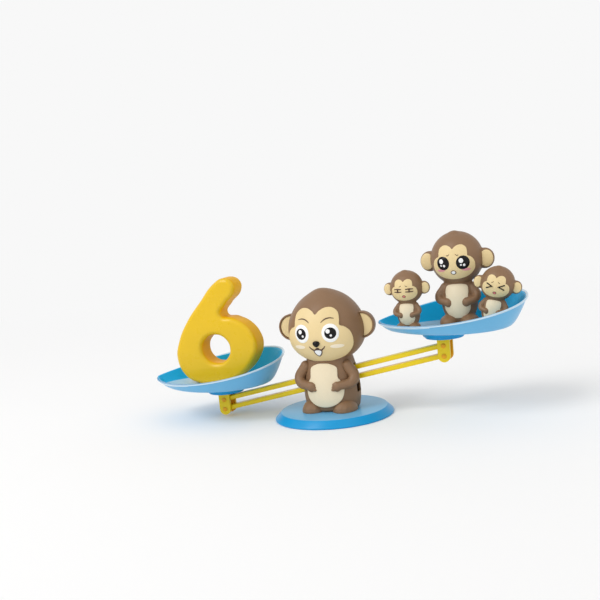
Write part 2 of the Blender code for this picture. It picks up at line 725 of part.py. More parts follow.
def make_base():
    """A round moulded base with a boss and ribs under its top, which stand on the cover."""
    top_radius = BASE_RADIUS - BASE_SIDE_RUN
    slope = BASE_SIDE_RUN / BASE_HEIGHT
    edge = BASE_EDGE_ROUND
    under = BASE_HEIGHT - BASE_WALL
    rib_foot = BASE_COVER_THICKNESS + SEAT_GAP
    profile = [
        (0.0, BASE_HEIGHT),
        (top_radius - edge, BASE_HEIGHT),
        (top_radius, BASE_HEIGHT - 0.4 * edge),
        (top_radius + slope * edge, BASE_HEIGHT - edge),
        (BASE_RADIUS, 0.4 * edge),
        (BASE_RADIUS - 0.4 * edge, 0.0),
        (BASE_RADIUS - BASE_WALL, 0.0),
        (top_radius - BASE_WALL, under),
        (BASE_BOSS_RADIUS, under),
        (BASE_BOSS_RADIUS, rib_foot),
        (0.0, rib_foot),
    ]
    base = turned("base", profile, 36)
    for index in range(BASE_RIBS):
        rib = box(
            "rib",
            (0.7 * BASE_BOSS_RADIUS, -0.5 * BASE_RIB_THICKNESS, rib_foot + SEAT_GAP),
            (top_radius - 0.6 * BASE_WALL, 0.5 * BASE_RIB_THICKNESS, under + 0.5 * BASE_WALL),
        )
        rib.data.transform(Matrix.Rotation(math.tau * index / BASE_RIBS, 4, "Z"))
        join(base, rib)
    for side in (-1, 1):
        y = side * BASE_SCREW_SPREAD
        cut(base, rod("hole", SCREW_RADIUS + SEAT_GAP, (0.0, y, 0.0), (0.0, y, 2.0 * BASE_HEIGHT), 10))
    return finish(base, "base", "sky_blue_plastic")


def make_base_cover():
    """The flat plate that closes the base from below and stands on the table."""
    inner = BASE_RADIUS - BASE_WALL - SEAT_GAP
    lean = BASE_SIDE_RUN * BASE_COVER_THICKNESS / (BASE_HEIGHT - BASE_WALL)
    profile = [(0.0, BASE_COVER_THICKNESS), (inner - lean, BASE_COVER_THICKNESS)]
    profile += [(inner, 0.0), (0.0, 0.0)]
    return finish(turned("cover", profile, 36), "base_cover", "deep_blue_plastic")


def make_base_screw(name, side):
    """A screw from under the base into the floor of the body."""
    y = side * BASE_SCREW_SPREAD
    under = BASE_HEIGHT - BASE_WALL - SEAT_GAP
    shank = rod("shank", SCREW_RADIUS, (0.0, y, under - 0.5 * SCREW_HEAD_HEIGHT),
                (0.0, y, BODY_BOTTOM + SCREW_REACH), 10)
    head = rod("head", SCREW_HEAD_RADIUS, (0.0, y, under - SCREW_HEAD_HEIGHT), (0.0, y, under), 12)
    return finish(join(shank, head), name, "steel")


def make_axle(name, z):
    reach = AXLE_BOSS_INNER + AXLE_SEAT_DEPTH - SEAT_GAP
    axle = rod("axle", AXLE_RADIUS, (0.0, -reach, z), (0.0, reach, z), 20)
    return finish(axle, name, "steel")


def make_beam(name, pivot):
    """A bar with a hub on the axle and an eye for the pin at each end."""
    half_width = 0.5 * BEAM_WIDTH
    half_depth = 0.5 * BEAM_DEPTH
    beam = box("bar", (-HALF_SPAN, -half_width, -half_depth), (HALF_SPAN, half_width, half_depth))
    bevel = beam.modifiers.new("edges", "BEVEL")
    bevel.width = BEAM_EDGE_ROUND
    bevel.segments = 1
    beam = baked(beam)
    hubs = [(0.0, HUB_RADIUS, AXLE_RADIUS)]
    hubs += [(side * HALF_SPAN, EYE_RADIUS, PIN_RADIUS) for side in (-1, 1)]
    for x, radius, _ in hubs:
        join(beam, rod("hub", radius, (x, -half_width, 0.0), (x, half_width, 0.0), 16))
    for x, _, bore in hubs:
        cut(beam, rod("bore", bore + RUNNING_GAP, (x, -BEAM_WIDTH, 0.0), (x, BEAM_WIDTH, 0.0), 12))
    return finish(beam, name, "yellow_plastic", parent=pivot)


def cheek_outline():
    """One cheek of the bracket: straight sides, a square top and a round lower end."""
    half = 0.5 * BRACKET_WIDTH
    outline = [(-half, BRACKET_TOP), (-half, -PIN_SPACING)]
    for index in range(1, 9):
        angle = math.radians(180.0 + 180.0 * index / 9)
        outline.append((half * math.cos(angle), -PIN_SPACING + half * math.sin(angle)))
    return outline + [(half, -PIN_SPACING), (half, BRACKET_TOP)]


def make_cheek(side):
    """A cheek as a flat plate with straight edges between its points."""
    shape = bmesh.new()
    outer = side * BRACKET_OUTER
    inner = side * BRACKET_INNER
    points = [shape.verts.new((x, outer, z)) for x, z in cheek_outline()]
    face = shape.faces.new(points)
    pushed = bmesh.ops.extrude_face_region(shape, geom=[face])["geom"]
    moved = [item for item in pushed if isinstance(item, bmesh.types.BMVert)]
    bmesh.ops.translate(shape, vec=(0.0, inner - outer, 0.0), verts=moved)
    bmesh.ops.recalc_face_normals(shape, faces=shape.faces)
    mesh = bpy.data.meshes.new("cheek")
    shape.to_mesh(mesh)
    shape.free()
    return add("cheek", mesh)


def make_bracket(name, hanger):
    """An upright clevis: two cheeks, the bridge over them and the peg for the dish foot."""
    half = 0.5 * BRACKET_WIDTH
    bracket = box("bridge", (-half, -BRACKET_OUTER, BRIDGE_BOTTOM), (half, BRACKET_OUTER, BRACKET_TOP))
    peg_top = DISH_UNDERSIDE - SEAT_GAP
    peg_bottom = 0.5 * (BRIDGE_BOTTOM + BRACKET_TOP)
    peg = rod("peg", BRACKET_PEG_RADIUS, (0.0, 0.0, peg_bottom), (0.0, 0.0, peg_top), 14)
    join(bracket, make_cheek(-1), make_cheek(1), peg)
    for z in (0.0, -PIN_SPACING):
        cut(bracket, rod("bore", PIN_RADIUS + SEAT_GAP, (0.0, -BEAM_WIDTH, z), (0.0, BEAM_WIDTH, z), 12))
    return finish(bracket, name, "yellow_plastic", parent=hanger)


def make_pin(name, z, hanger):
    """A rivet through both cheeks and the eye between them."""
    seat = BRACKET_OUTER + SEAT_GAP
    profile = [
        (0.0, seat + PIN_HEAD_HEIGHT),
        (0.7 * PIN_HEAD_RADIUS, seat + 0.8 * PIN_HEAD_HEIGHT),
        (PIN_HEAD_RADIUS, seat + 0.3 * PIN_HEAD_HEIGHT),
        (PIN_HEAD_RADIUS, seat),
        (PIN_RADIUS, seat),
    ]
    profile += [(radius, -height) for radius, height in reversed(profile)]
    pin = turned("pin", profile, 10)
    pin.data.transform(Matrix.Rotation(math.radians(90.0), 4, "X"))
    pin.location.z = z
    return finish(pin, name, "bronze_pin", parent=hanger)


def make_dish_foot(name, hanger):
    """The round hub between the bracket and the dish."""
    hole = BRACKET_PEG_RADIUS + SEAT_GAP
    top = DISH_FOOT_HEIGHT
    edge = 0.12 * DISH_FOOT_HEIGHT
    profile = [
        (hole, top),
        (DISH_FOOT_TOP_RADIUS, top),
        (DISH_FOOT_TOP_RADIUS, top - 2.0 * edge),
        (DISH_FOOT_BOTTOM_RADIUS + edge, edge),
        (DISH_FOOT_BOTTOM_RADIUS, 0.0),
        (hole, 0.0),
    ]
    foot = turned("foot", profile, 24, closed=True)
    foot.location.z = FOOT_BOTTOM
    return finish(foot, name, "deep_blue_plastic", parent=hanger)


def drop_outline(angle):
    """A point on the dish's outline as shares of its half length and half depth.

    It is round and wide at angle 0, to the right, and narrows to a point on the left.
    """
    power = DISH_TIP_SHARPNESS
    widest = 2.0 * (1.0 + 2.0 * power) ** (0.5 + power) / (2.0 + 2.0 * power) ** (1.0 + power)
    narrowing = ((1.0 + math.cos(angle)) / 2.0) ** power
    return math.cos(angle), math.sin(angle) * narrowing / widest


def dish_rim_height(x, y):
    """The rim lies in a plane that climbs to the right and to the rear."""
    return DISH_WALL_HEIGHT + x * math.tan(DISH_RISE_RIGHT) + y * math.tan(DISH_RISE_REAR)


def dish_rings():
    """Each ring of the dish as (how far from the floor's edge to the rim, share of height)."""
    return [(0.0, 0.0), (0.22, 0.1), (0.62, 0.48), (0.94, 0.86), (1.0, 0.9), (1.0, 1.0)]


def make_dish(name, hanger, side, steps=28):
    """A scoop dish: a flat drop-shaped floor and a wall that flares and climbs to the right."""
    shape = bmesh.new()
    rings = []
    for index, (out, rise) in enumerate(dish_rings()):
        ring = []
        lip = DISH_LIP if index >= len(dish_rings()) - 2 else 0.0
        for step in range(steps):
            across, along = drop_outline(math.tau * step / steps)
            inset = DISH_WALL_RUN * (1.0 - out) - lip
            x = across * (DISH_HALF_LENGTH - inset) - DISH_FLOOR_SHIFT * (1.0 - out)
            y = along * (DISH_HALF_DEPTH - inset * DISH_HALF_DEPTH / DISH_HALF_LENGTH)
            rim = dish_rim_height(across * DISH_HALF_LENGTH, along * DISH_HALF_DEPTH)
            ring.append(shape.verts.new((x, y, rise * rim)))
        rings.append(ring)
    shape.faces.new(list(reversed(rings[0])))
    for low, high in zip(rings, rings[1:]):
        for step in range(steps):
            after = (step + 1) % steps
            shape.faces.new((low[step], low[after], high[after], high[step]))
    bmesh.ops.recalc_face_normals(shape, faces=shape.faces)
    mesh = bpy.data.meshes.new("dish")
    shape.to_mesh(mesh)
    shape.free()
    dish = add("dish", mesh)
    wall = dish.modifiers.new("wall", "SOLIDIFY")
    wall.thickness = DISH_THICKNESS
    wall.offset = -1.0
    wall.use_even_offset = True
    dish = baked(dish)
    dish.location = (side * DISH_OFFSET, 0.0, DISH_UNDERSIDE)
    return finish(dish, name, "sky_blue_plastic", parent=hanger)


def numeral_outline():
    """The edge of a fat, leaning 6 as shares of its width and height, clockwise from its foot."""
    return [
        (0.42, 0.0), (0.24, 0.018), (0.09, 0.085), (0.0, 0.26), (0.045, 0.425), (0.18, 0.618),
        (0.365, 0.795), (0.55, 0.955), (0.67, 1.0), (0.785, 0.955), (0.79, 0.865), (0.665, 0.755),
        (0.60, 0.66), (0.735, 0.628), (0.885, 0.56), (0.98, 0.45), (1.0, 0.35), (0.95, 0.235),
        (0.80, 0.10), (0.62, 0.022),
    ]


def make_numeral(hanger):
    """The numeral that stands in the left dish, on a small flat under its bowl."""
    width = NUMERAL_WIDTH
    height = NUMERAL_HEIGHT
    foot = 0.44 * width
    outer = [(x * width - foot, z * height) for x, z in numeral_outline()]
    hole = oval(0.50 * width - foot, 0.325 * height, NUMERAL_HOLE_RADIUS, 0.95 * NUMERAL_HOLE_RADIUS, 6)
    numeral = flat_shape("numeral", [outer, hole], NUMERAL_THICKNESS, NUMERAL_EDGE_ROUND, 3)
    reach = 2.0 * NUMERAL_WIDTH
    cut(numeral, box("below", (-reach, -reach, -reach), (reach, reach, NUMERAL_FLAT)))
    numeral.location = (-DISH_OFFSET, 0.0, LOAD_LEVEL - NUMERAL_FLAT)
    return finish(numeral, "numeral_six", "numeral_plastic", 30.0, hanger)


def make_counter(name, height, place, lean, hanger):
    """A small toy monkey in one piece: big head, round ears, arms on the belly, flat feet."""
    def form(label, centre, radii, sides, rings):
        return ball(label, Vector(centre) * height, Vector(radii) * height, sides, rings)

    head_level = 1.0 - COUNTER_HEAD[2]
    figure = form("figure", (0.0, 0.0, 0.25), COUNTER_BODY, 12, 6)
    join(figure, form("head", (0.0, 0.0, head_level), COUNTER_HEAD, 14, 8))
    for side in (-1, 1):
        join(figure, form("ear", (side * 0.30, 0.0, head_level - 0.02), COUNTER_EAR, 8, 5))
        join(figure, form("foot", (side * 0.115, -0.075, 0.02), COUNTER_FOOT, 8, 5))
        shoulder = Vector((side * 0.15, -0.04, 0.40)) * height
        elbow = Vector((side * 0.23, -0.10, 0.24)) * height
        hand = Vector((side * 0.10, -0.15, 0.24)) * height
        join(figure, limb("arm", shoulder, elbow, hand, 0.045 * height, 0.04 * height, 5, 1))
    figure.data.transform(Matrix.Rotation(lean, 4, "Y"))
    reach = 2.0 * height
    cut(figure, box("below", (-reach, -reach, -reach), (reach, reach, 0.0)))
    x, y = place
    figure.location = (x, y, LOAD_LEVEL)
    return finish(figure, name, "brown_plastic", 40.0, hanger)


def pivot(name, x, z, tilt=0.0):
    """An empty on a joint's axis, which carries the pieces that turn about it."""
    made = add(name, None, "number_balance")
    made.empty_display_size = 10.0 * MM
    made.location = (x, 0.0, z)
    made.rotation_euler.y = tilt
    return made


def make_monkey():
    make_body_shell("body_front_shell", -1)
    make_body_shell("body_back_shell", 1)
    make_head_shell("head_front_shell", -1)
    make_head_shell("head_back_shell", 1)
    make_face_plate()
    make_belly_plate()
    make_nose()
    for name, side in (("left", -1), ("right", 1)):
        make_eye(name + "_eye", side)
        make_ear(name + "_ear", side)
        make_inner_ear(name + "_inner_ear", side)
        make_arm(name + "_arm", side)
        make_foot(name + "_foot", side)
    for name, x, z, surface in body_screw_places():
        shell_screw("body_screw_" + name, x, z, surface)
    for name, x, z, surface in head_screw_places():
        shell_screw("head_screw_" + name, x, z, surface)


def make_hanger(side_name, side):
    """A bracket with its pins, dish foot and dish. The left one hangs low at rest."""
    hanger = pivot(side_name + "_hanger", side * HANGER_X, UPPER_AXLE_Z + side * HANGER_SWING)
    make_bracket(side_name + "_bracket", hanger)
    make_pin(side_name + "_upper_pin", 0.0, hanger)
    make_pin(side_name + "_lower_pin", -PIN_SPACING, hanger)
    make_dish_foot(side_name + "_dish_foot", hanger)
    make_dish(side_name + "_dish", hanger, side)
    return hanger


def make_counters(hanger):
    make_counter("counter_large", LARGE_COUNTER_HEIGHT, LARGE_COUNTER_PLACE, 0.0, hanger)
    make_counter("counter_small_left", SMALL_COUNTER_HEIGHT, LEFT_COUNTER_PLACE, 0.0, hanger)
    make_counter(
        "counter_small_right", SMALL_COUNTER_HEIGHT, RIGHT_COUNTER_PLACE, RIGHT_COUNTER_LEAN, hanger
    )


def main():
    clear_scene()
    collection("number_balance")
    tools = collection("tools")
    tools.hide_render = True
    make_base()
    make_base_cover()
    make_base_screw("base_screw_front", -1)
    make_base_screw("base_screw_rear", 1)
    make_monkey()
    make_axle("upper_axle", UPPER_AXLE_Z)
    make_axle("lower_axle", LOWER_AXLE_Z)
    make_beam("upper_beam", pivot("upper_pivot", 0.0, UPPER_AXLE_Z, -REST_TILT))
    make_beam("lower_beam", pivot("lower_pivot", 0.0, LOWER_AXLE_Z, -REST_TILT))
    make_numeral(make_hanger("left", -1))
    make_counters(make_hanger("right", 1))


main()
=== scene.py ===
"""Number balance: the looks of a toy monkey that carries a pair of scales.

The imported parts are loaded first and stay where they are. Each operator below models one piece
or one group of like pieces around them, gives it its finish and lets it ride on its body. The
monkey looks along -Y, the bars run along X, +Z is up and sizes are in metres.
"""

from math import atan2, cos, degrees, radians, sin, tan, tau

import bmesh
import bpy
from bpy.props import FloatProperty, FloatVectorProperty, PointerProperty
from mathutils import Matrix, Vector


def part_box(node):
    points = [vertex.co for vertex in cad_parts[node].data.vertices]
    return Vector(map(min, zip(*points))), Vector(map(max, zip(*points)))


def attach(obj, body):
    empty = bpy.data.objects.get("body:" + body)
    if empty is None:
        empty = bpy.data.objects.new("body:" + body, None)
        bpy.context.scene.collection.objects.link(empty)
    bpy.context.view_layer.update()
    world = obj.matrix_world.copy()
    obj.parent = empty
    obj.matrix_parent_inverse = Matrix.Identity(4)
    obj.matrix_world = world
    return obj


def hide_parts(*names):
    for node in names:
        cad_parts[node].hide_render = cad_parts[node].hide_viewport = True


bl_info = {
    "name": "Number Balance",
    "version": (1, 0, 0),
    "blender": (4, 5, 0),
    "location": "View3D > Sidebar > Balance",
    "description": "Models and finishes a toy number balance around its packed parts",
    "category": "Add Mesh",
}

MM = 0.001
SIDES = {"left": -1, "right": 1}
STAND = "monkey_stand"
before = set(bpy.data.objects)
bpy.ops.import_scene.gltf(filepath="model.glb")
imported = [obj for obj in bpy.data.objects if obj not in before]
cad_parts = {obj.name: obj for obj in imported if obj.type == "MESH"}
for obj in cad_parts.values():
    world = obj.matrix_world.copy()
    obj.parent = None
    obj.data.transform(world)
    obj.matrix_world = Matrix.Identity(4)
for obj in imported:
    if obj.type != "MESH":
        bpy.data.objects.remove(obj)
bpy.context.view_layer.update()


def middle(node):
    """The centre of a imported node's box."""
    low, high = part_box(node)
    return (low + high) / 2.0


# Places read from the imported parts
LOWER_AXLE_Z = middle("lower_axle").z
UPPER_AXLE_Z = middle("upper_axle").z
PIN_SPACING = UPPER_AXLE_Z - LOWER_AXLE_Z
BODY_BOTTOM, BODY_TOP = (corner.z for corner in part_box("body_front_shell"))
HEAD_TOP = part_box("head_front_shell")[1].z
BASE_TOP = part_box("base")[1].z
BASE_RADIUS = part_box("base")[1].x
HANGERS = {label: middle(label + "_upper_pin") for label in SIDES}


def linear(colour):
    """An sRGB colour, 0 to 255 a channel, as scene-linear light."""
    shares = [channel / 255.0 for channel in colour]
    return tuple(s / 12.92 if s <= 0.04045 else ((s + 0.055) / 1.055) ** 2.4 for s in shares)


def length(name, description, value):
    """A length setting, given in millimetres."""
    return FloatProperty(
        name=name, description=description, default=value * MM, min=0.0, unit="LENGTH", precision=4
    )


def tone(name, description, colour):
    """A colour setting, given in sRGB from 0 to 255."""
    return FloatVectorProperty(
        name=name, description=description, default=linear(colour), subtype="COLOR", min=0.0, max=1.0
    )


class MonkeySizes(bpy.types.PropertyGroup):
    """Sizes of the big monkey that carries the bars."""

    head_half_width: length("Head half width", "From the middle to the side of the head", 42.0)
    head_half_depth: length("Head half depth", "From the middle to the front of the head", 36.5)
    head_half_height: length("Head half height", "From the middle to the top of the head", 40.0)
    cheek_fullness: FloatProperty(
        name="Cheek fullness", description="How much wider the head is low down", default=0.11
    )
    head_crest: length("Head crest", "How far the soft point on the head stands up", 1.6)
    body_half_width: length("Body half width", "Half of the body at its widest", 31.0)
    body_half_depth: length("Body half depth", "Half of the body from front to back", 26.5)
    body_edge: length("Body edge", "Rounding at the top and bottom of the body", 4.5)
    shell_wall: length("Shell wall", "Wall of the hollow shells", 2.0)
    seat_gap: length("Seat gap", "Gap between pieces that rest on each other", 0.3)
    seam_gap: length("Seam gap", "Half of the parting line between two shells", 0.15)
    skin: length("Skin", "Thickness of the pale face and belly plates", 1.5)


class BalanceSizes(bpy.types.PropertyGroup):
    """Sizes of the dishes, the bars and what stands in the dishes."""

    dish_half_length: length("Dish half length", "Half of the dish from tip to round end", 77.0)
    dish_half_depth: length("Dish half depth", "Half of the dish from front to rear", 58.0)
    dish_offset: length("Dish offset", "From the bracket's pin to the middle of the dish", 8.0)
    dish_wall_run: length("Dish wall run", "How far the wall flares outwards", 14.0)
    dish_wall_height: length("Dish wall height", "Height of the rim at the middle", 19.0)
    dish_wall: length("Dish wall", "Thickness of the dish", 2.2)
    numeral_width: length("Numeral width", "Width of the standing numeral", 99.0)
    numeral_height: length("Numeral height", "Height of the standing numeral", 118.0)
    numeral_thickness: length("Numeral thickness", "From front to back", 27.0)
    numeral_edge: length("Numeral edge", "Rounding of the numeral's edges", 5.0)
    large_counter: length("Large counter", "Height of the large monkey counter", 95.0)
    small_counter: length("Small counter", "Height of the small monkey counters", 60.0)


class BalanceColours(bpy.types.PropertyGroup):
    """Colours of the plastics and paints."""

    brown: tone("Brown", "The monkeys' fur", (136, 105, 77))
    beige: tone("Beige", "The monkeys' faces and ears", (231, 207, 155))
    cream: tone("Cream", "The bellies", (234, 219, 188))
    # The pale spots on the big monkey's cheeks are painted highlights
    cheek: tone("Cheek", "The pale spots on the cheeks", (246, 233, 208))
    black: tone("Black", "Pupils and noses", (16, 14, 14))
    # White also paints the highlights on the pupils
    white: tone("White", "The whites of the eyes", (248, 248, 246))
    line: tone("Line", "Brows and mouths", (78, 50, 34))
    tongue: tone("Tongue", "The open mouth", (222, 120, 116))
    sky: tone("Sky blue", "The outside of the dishes and the top of the base", (112, 182, 224))
    # Deep blue is the hubs' and the cover's colour, and painted shade on the base's sloped side
    deep: tone("Deep blue", "The side of the base and the dishes' hubs", (24, 150, 208))
    inside: tone("Inside blue", "The inner walls of the dishes", (22, 178, 234))
    # Pale blue is the dishes' floor, and a painted highlight on their rim
    pale: tone("Pale blue", "The floor and the rim of the dishes", (196, 222, 239))
    yellow: tone("Yellow", "The bars and brackets", (236, 204, 12))
    # Orange is the rivets' colour, and painted shade on the brackets' inner faces
    orange: tone("Orange", "The insides of the brackets and the rivets", (232, 162, 16))
    numeral: tone("Numeral yellow", "The front and back of the standing numeral", (230, 188, 18))
    # Amber is painted shade on the numeral's sides, which are one plastic with its front and back
    amber: tone("Amber", "The sides of the standing numeral", (236, 178, 4))
    steel: tone("Steel", "Axles and screws", (186, 186, 190))
    blush: tone("Blush", "The pink spots on the large counter's cheeks", (226, 150, 160))
    floor: tone("Floor", "The surface that the toy stands on", (250, 250, 250))
    backdrop: tone("Backdrop", "What is seen behind the toy", (248, 248, 248))


def sizes():
    return bpy.context.scene.monkey_sizes


def parts():
    return bpy.context.scene.balance_sizes


def colours():
    return bpy.context.scene.balance_colours


# Modelling

def leave_edit():
    if bpy.context.object and bpy.context.object.mode != "OBJECT":
        bpy.ops.object.mode_set(mode="OBJECT")


def clear():
    """Leaves edit mode and deselects everything."""
    leave_edit()
    bpy.ops.object.select_all(action="DESELECT")


def pick(obj):
    """Makes this the only selected object and the active one."""
    clear()
    obj.select_set(True)
    bpy.context.view_layer.objects.active = obj
    return obj


def edit(obj, test=None):
    """Goes into edit mode with every point selected, or those that pass the test."""
    pick(obj)
    bpy.ops.object.mode_set(mode="EDIT")
    bpy.ops.mesh.select_all(action="DESELECT" if test else "SELECT")
    if test:
        shape = bmesh.from_edit_mesh(obj.data)
        for vertex in shape.verts:
            vertex.select = test(vertex)
        shape.select_flush_mode()
        bmesh.update_edit_mesh(obj.data)


def settle(obj, whole=True):
    """Puts the object's scale into its mesh, and its place and turn too."""
    pick(obj)
    bpy.ops.object.transform_apply(location=whole, rotation=whole, scale=True)
    return obj


def modify(obj, kind, **settings):
    """Adds a modifier with these settings and applies it."""
    pick(obj)
    modifier = obj.modifiers.new(kind.lower(), kind)
    for key, value in settings.items():
        setattr(modifier, key, value)
    bpy.ops.object.modifier_apply(modifier=modifier.name)
    return obj


def named(name):
    """Names the object that was just made."""
    made = bpy.context.object
    made.name = made.data.name = name
    return made


def ball(name, centre, radii, segments=64, rings=40):
    """A ball stretched to three radii."""
    clear()
    bpy.ops.mesh.primitive_uv_sphere_add(segments=segments, ring_count=rings, radius=1.0, location=centre)
    made = named(name)
    made.scale = radii
    return made


def block(name, low, high):
    """A box between two corners, as a cutter."""
    clear()
    low, high = Vector(low), Vector(high)
    bpy.ops.mesh.primitive_cube_add(size=1.0, location=(low + high) / 2.0)
    made = named(name)
    made.scale = high - low
    return settle(made)


def bar(name, start, end, radius, sides=32):
    """A round bar from one point to another."""
    clear()
    start, end = Vector(start), Vector(end)
    bpy.ops.mesh.primitive_cylinder_add(
        vertices=sides, radius=radius, depth=(end - start).length, location=(start + end) / 2.0
    )
    made = named(name)
    made.rotation_euler = Vector((0.0, 0.0, 1.0)).rotation_difference(end - start).to_euler()
    return settle(made)


def remove(*objects):
    for obj in objects:
        bpy.data.objects.remove(obj)


def combine(obj, *tools, operation="UNION", keep=False):
    """Boolean of closed pieces. The tools are removed unless they are kept."""
    for tool in tools:
        modify(obj, "BOOLEAN", operation=operation, object=tool, solver="EXACT")
        if not keep:
            remove(tool)
    return obj


def cut(obj, *tools, keep=False):
    return combine(obj, *tools, operation="DIFFERENCE", keep=keep)


def smooth(obj, angle=40.0):
    pick(obj)
    bpy.ops.object.shade_smooth_by_angle(angle=radians(angle))
    return obj


def soften(obj, width, angle):
    """Rounds the edges that are sharper than this angle."""
    return modify(obj, "BEVEL", width=width, segments=3, limit_method="ANGLE", angle_limit=radians(angle))


def weld(obj):
    """Joins doubled points and turns the faces outwards."""
    edit(obj)
    bpy.ops.mesh.remove_doubles(threshold=0.002 * MM)
    bpy.ops.mesh.normals_make_consistent(inside=False)
    leave_edit()
    return obj


def arc(centre_radius, centre_height, radius, start, end, count=6):
    """Points of a rounded edge as (radius, height), between two angles in degrees."""
    angles = [radians(start + (end - start) * step / count) for step in range(count + 1)]
    return [(centre_radius + radius * cos(a), centre_height + radius * sin(a)) for a in angles]


def turned(name, profile, steps=96, closed=False):
    """Extrudes a single point along a profile of (radius, height) points and spins it round Z."""
    clear()
    bpy.ops.mesh.primitive_plane_add(size=MM, location=(0.0, 0.0, 0.0))
    made = named(name)
    edit(made)
    bpy.ops.mesh.merge(type="CENTER")
    here = Vector((profile[0][0], 0.0, profile[0][1]))
    bpy.ops.transform.translate(value=here)
    for radius, height in profile[1:]:
        step = Vector((radius, 0.0, height)) - here
        bpy.ops.mesh.extrude_region_move(TRANSFORM_OT_translate={"value": step})
        here = here + step
    bpy.ops.mesh.select_all(action="SELECT")
    if closed:
        bpy.ops.mesh.remove_doubles(threshold=0.002 * MM)
        bpy.ops.mesh.select_all(action="SELECT")
    bpy.ops.mesh.spin(steps=steps, angle=tau, center=(0.0, 0.0, 0.0), axis=(0.0, 0.0, 1.0))
    return weld(made)


def face_front(obj, place):
    """Turns a piece that was spun round Z to look along -Y, at this place."""
    obj.rotation_euler.x = radians(90.0)
    obj.location = place
    return settle(obj)


def move_picked(points):
    """Puts the selected points of the mesh in edit mode at these places, in their order."""
    shape = bmesh.from_edit_mesh(bpy.context.object.data)
    chosen = [vertex for vertex in shape.verts if vertex.select]
    for vertex, place in zip(chosen, points):
        vertex.co = place
    bmesh.update_edit_mesh(bpy.context.object.data)


def lofted(name, rings):
    """Joins rings of points into one skin, which is left in edit mode with its last ring selected."""
    clear()
    bpy.ops.mesh.primitive_circle_add(vertices=len(rings[0]), radius=MM, location=(0.0, 0.0, 0.0))
    made = named(name)
    edit(made)
    move_picked(rings[0])
    for points in rings[1:]:
        bpy.ops.mesh.extrude_region_move()
        move_picked(points)
    return made


def face_along(obj, direction):
    """Turns an open skin's faces so that the whole of it looks this way."""
    edit(obj)
    bpy.ops.mesh.normals_make_consistent(inside=False)
    faces = bmesh.from_edit_mesh(obj.data).faces
    if sum(face.normal.dot(direction) * face.calc_area() for face in faces) < 0.0:
        bpy.ops.mesh.flip_normals()
    leave_edit()


def smooth_outline(points, fineness):
    """A closed outline of many points through a few, by Catmull and Rom's rule."""
    count = len(points)
    found = []
    for index in range(count):
        before, start, end, after = (Vector(points[(index + k - 1) % count]) for k in range(4))
        for step in range(fineness):
            t = step / fineness
            found.append(
                0.5 * (2.0 * start + (end - before) * t
                       + (2.0 * before - 5.0 * start + 4.0 * end - after) * t ** 2
                       + (3.0 * start - before - 3.0 * end + after) * t ** 3)
            )
    return found


def ellipse(centre_x, centre_z, half_width, half_height, count=12):
    angles = [tau * index / count for index in range(count)]
    return [(centre_x + half_width * cos(a), centre_z + half_height * sin(a)) for a in angles]


def mirrored(first, right, last):
    """A closed outline from its right side, with a first and a last point on the middle line."""
    return [(0.0, first)] + right + [(0.0, last)] + [(-x, z) for x, z in reversed(right)]


def front_of(target):
    """The y of the target's foremost point."""
    return min(vertex.co.y for vertex in target.data.vertices)


def skin_on(name, target, outline, gap, thickness, rings, fineness=10):
    """A plate with this (x, z) outline that lies on the front of the target."""
    points = smooth_outline(outline, fineness)
    centre = sum(points, Vector((0.0, 0.0))) / len(points)
    ahead = front_of(target) - 20.0 * MM
    shares = [(rings - ring) / rings for ring in range(1, rings)]
    shrunk = [points] + [[centre + (p - centre) * share for p in points] for share in shares]
    made = lofted(name, [[Vector((p.x, ahead, p.y)) for p in ring] for ring in shrunk])
    bpy.ops.mesh.merge(type="COLLAPSE")
    leave_edit()
    modify(
        made, "SHRINKWRAP", wrap_method="PROJECT", use_project_y=True, use_positive_direction=True,
        use_negative_direction=False, target=target, offset=0.0,
    )
    face_along(made, Vector((0.0, -1.0, 0.0)))
    if gap:
        modify(made, "DISPLACE", strength=gap, mid_level=0.0)
    modify(made, "SOLIDIFY", thickness=thickness, offset=1.0, use_even_offset=True)
    edge = 0.35 * thickness
    return smooth(soften(made, edge, 50.0), 60.0)


def surface_at(target, x, z):
    """The front surface's point and normal at this x and z."""
    start = Vector((x, front_of(target) - 10.0 * MM, z))
    hit, place, normal, _ = target.ray_cast(start, Vector((0.0, 1.0, 0.0)))
    if not hit:
        raise ValueError(f"nothing in front of {target.name} at {x:.4f}, {z:.4f}")
    return place, normal


def dome_on(name, target, x, z, half_width, half_height, bulge, gap=0.0):
    """A low oval dome that stands out of the target's front by its bulge."""
    place, normal = surface_at(target, x, z)
    depth = 2.2 * bulge
    made = ball(name, place + normal * (gap + bulge - depth), (half_width, depth, half_height), 40, 24)
    made.rotation_euler = Vector((0.0, -1.0, 0.0)).rotation_difference(normal).to_euler()
    return smooth(settle(made), 80.0)


def curve_mesh(name, lines, handles="AUTO", closed=False, **settings):
    """The mesh of a curve with these settings through lines of (place, radius) points."""
    curve = bpy.data.curves.new(name, "CURVE")
    for key, value in settings.items():
        setattr(curve, key, value)
    for line in lines:
        spline = curve.splines.new("BEZIER")
        spline.bezier_points.add(len(line) - 1)
        spline.use_cyclic_u = closed
        for point, (place, radius) in zip(spline.bezier_points, line):
            point.co = place
            point.radius = radius
            point.handle_left_type = point.handle_right_type = handles
    made = bpy.data.objects.new(name, curve)
    bpy.context.scene.collection.objects.link(made)
    pick(made)
    bpy.ops.object.convert(target="MESH")
    return bpy.context.object


def tube(name, points, radii, fineness=6, handles="AUTO"):
    """A round tube through these points with a radius at each of them."""
    return weld(curve_mesh(
        name, [list(zip(points, radii))], handles, dimensions="3D", bevel_depth=1.0,
        bevel_resolution=fineness, resolution_u=10, use_fill_caps=True,
    ))


def stroke_on(name, target, places, radius, gap, handles="AUTO"):
    """A painted line through (x, z) places on the front of the target, thinner at its ends."""
    surface = [surface_at(target, x, z) for x, z in places]
    points = [place + normal * (gap + 0.1 * radius) for place, normal in surface]
    radii = [0.55 * radius] + [radius] * (len(points) - 2) + [0.55 * radius]
    return smooth(tube(name, points, radii, 6, handles), 70.0)


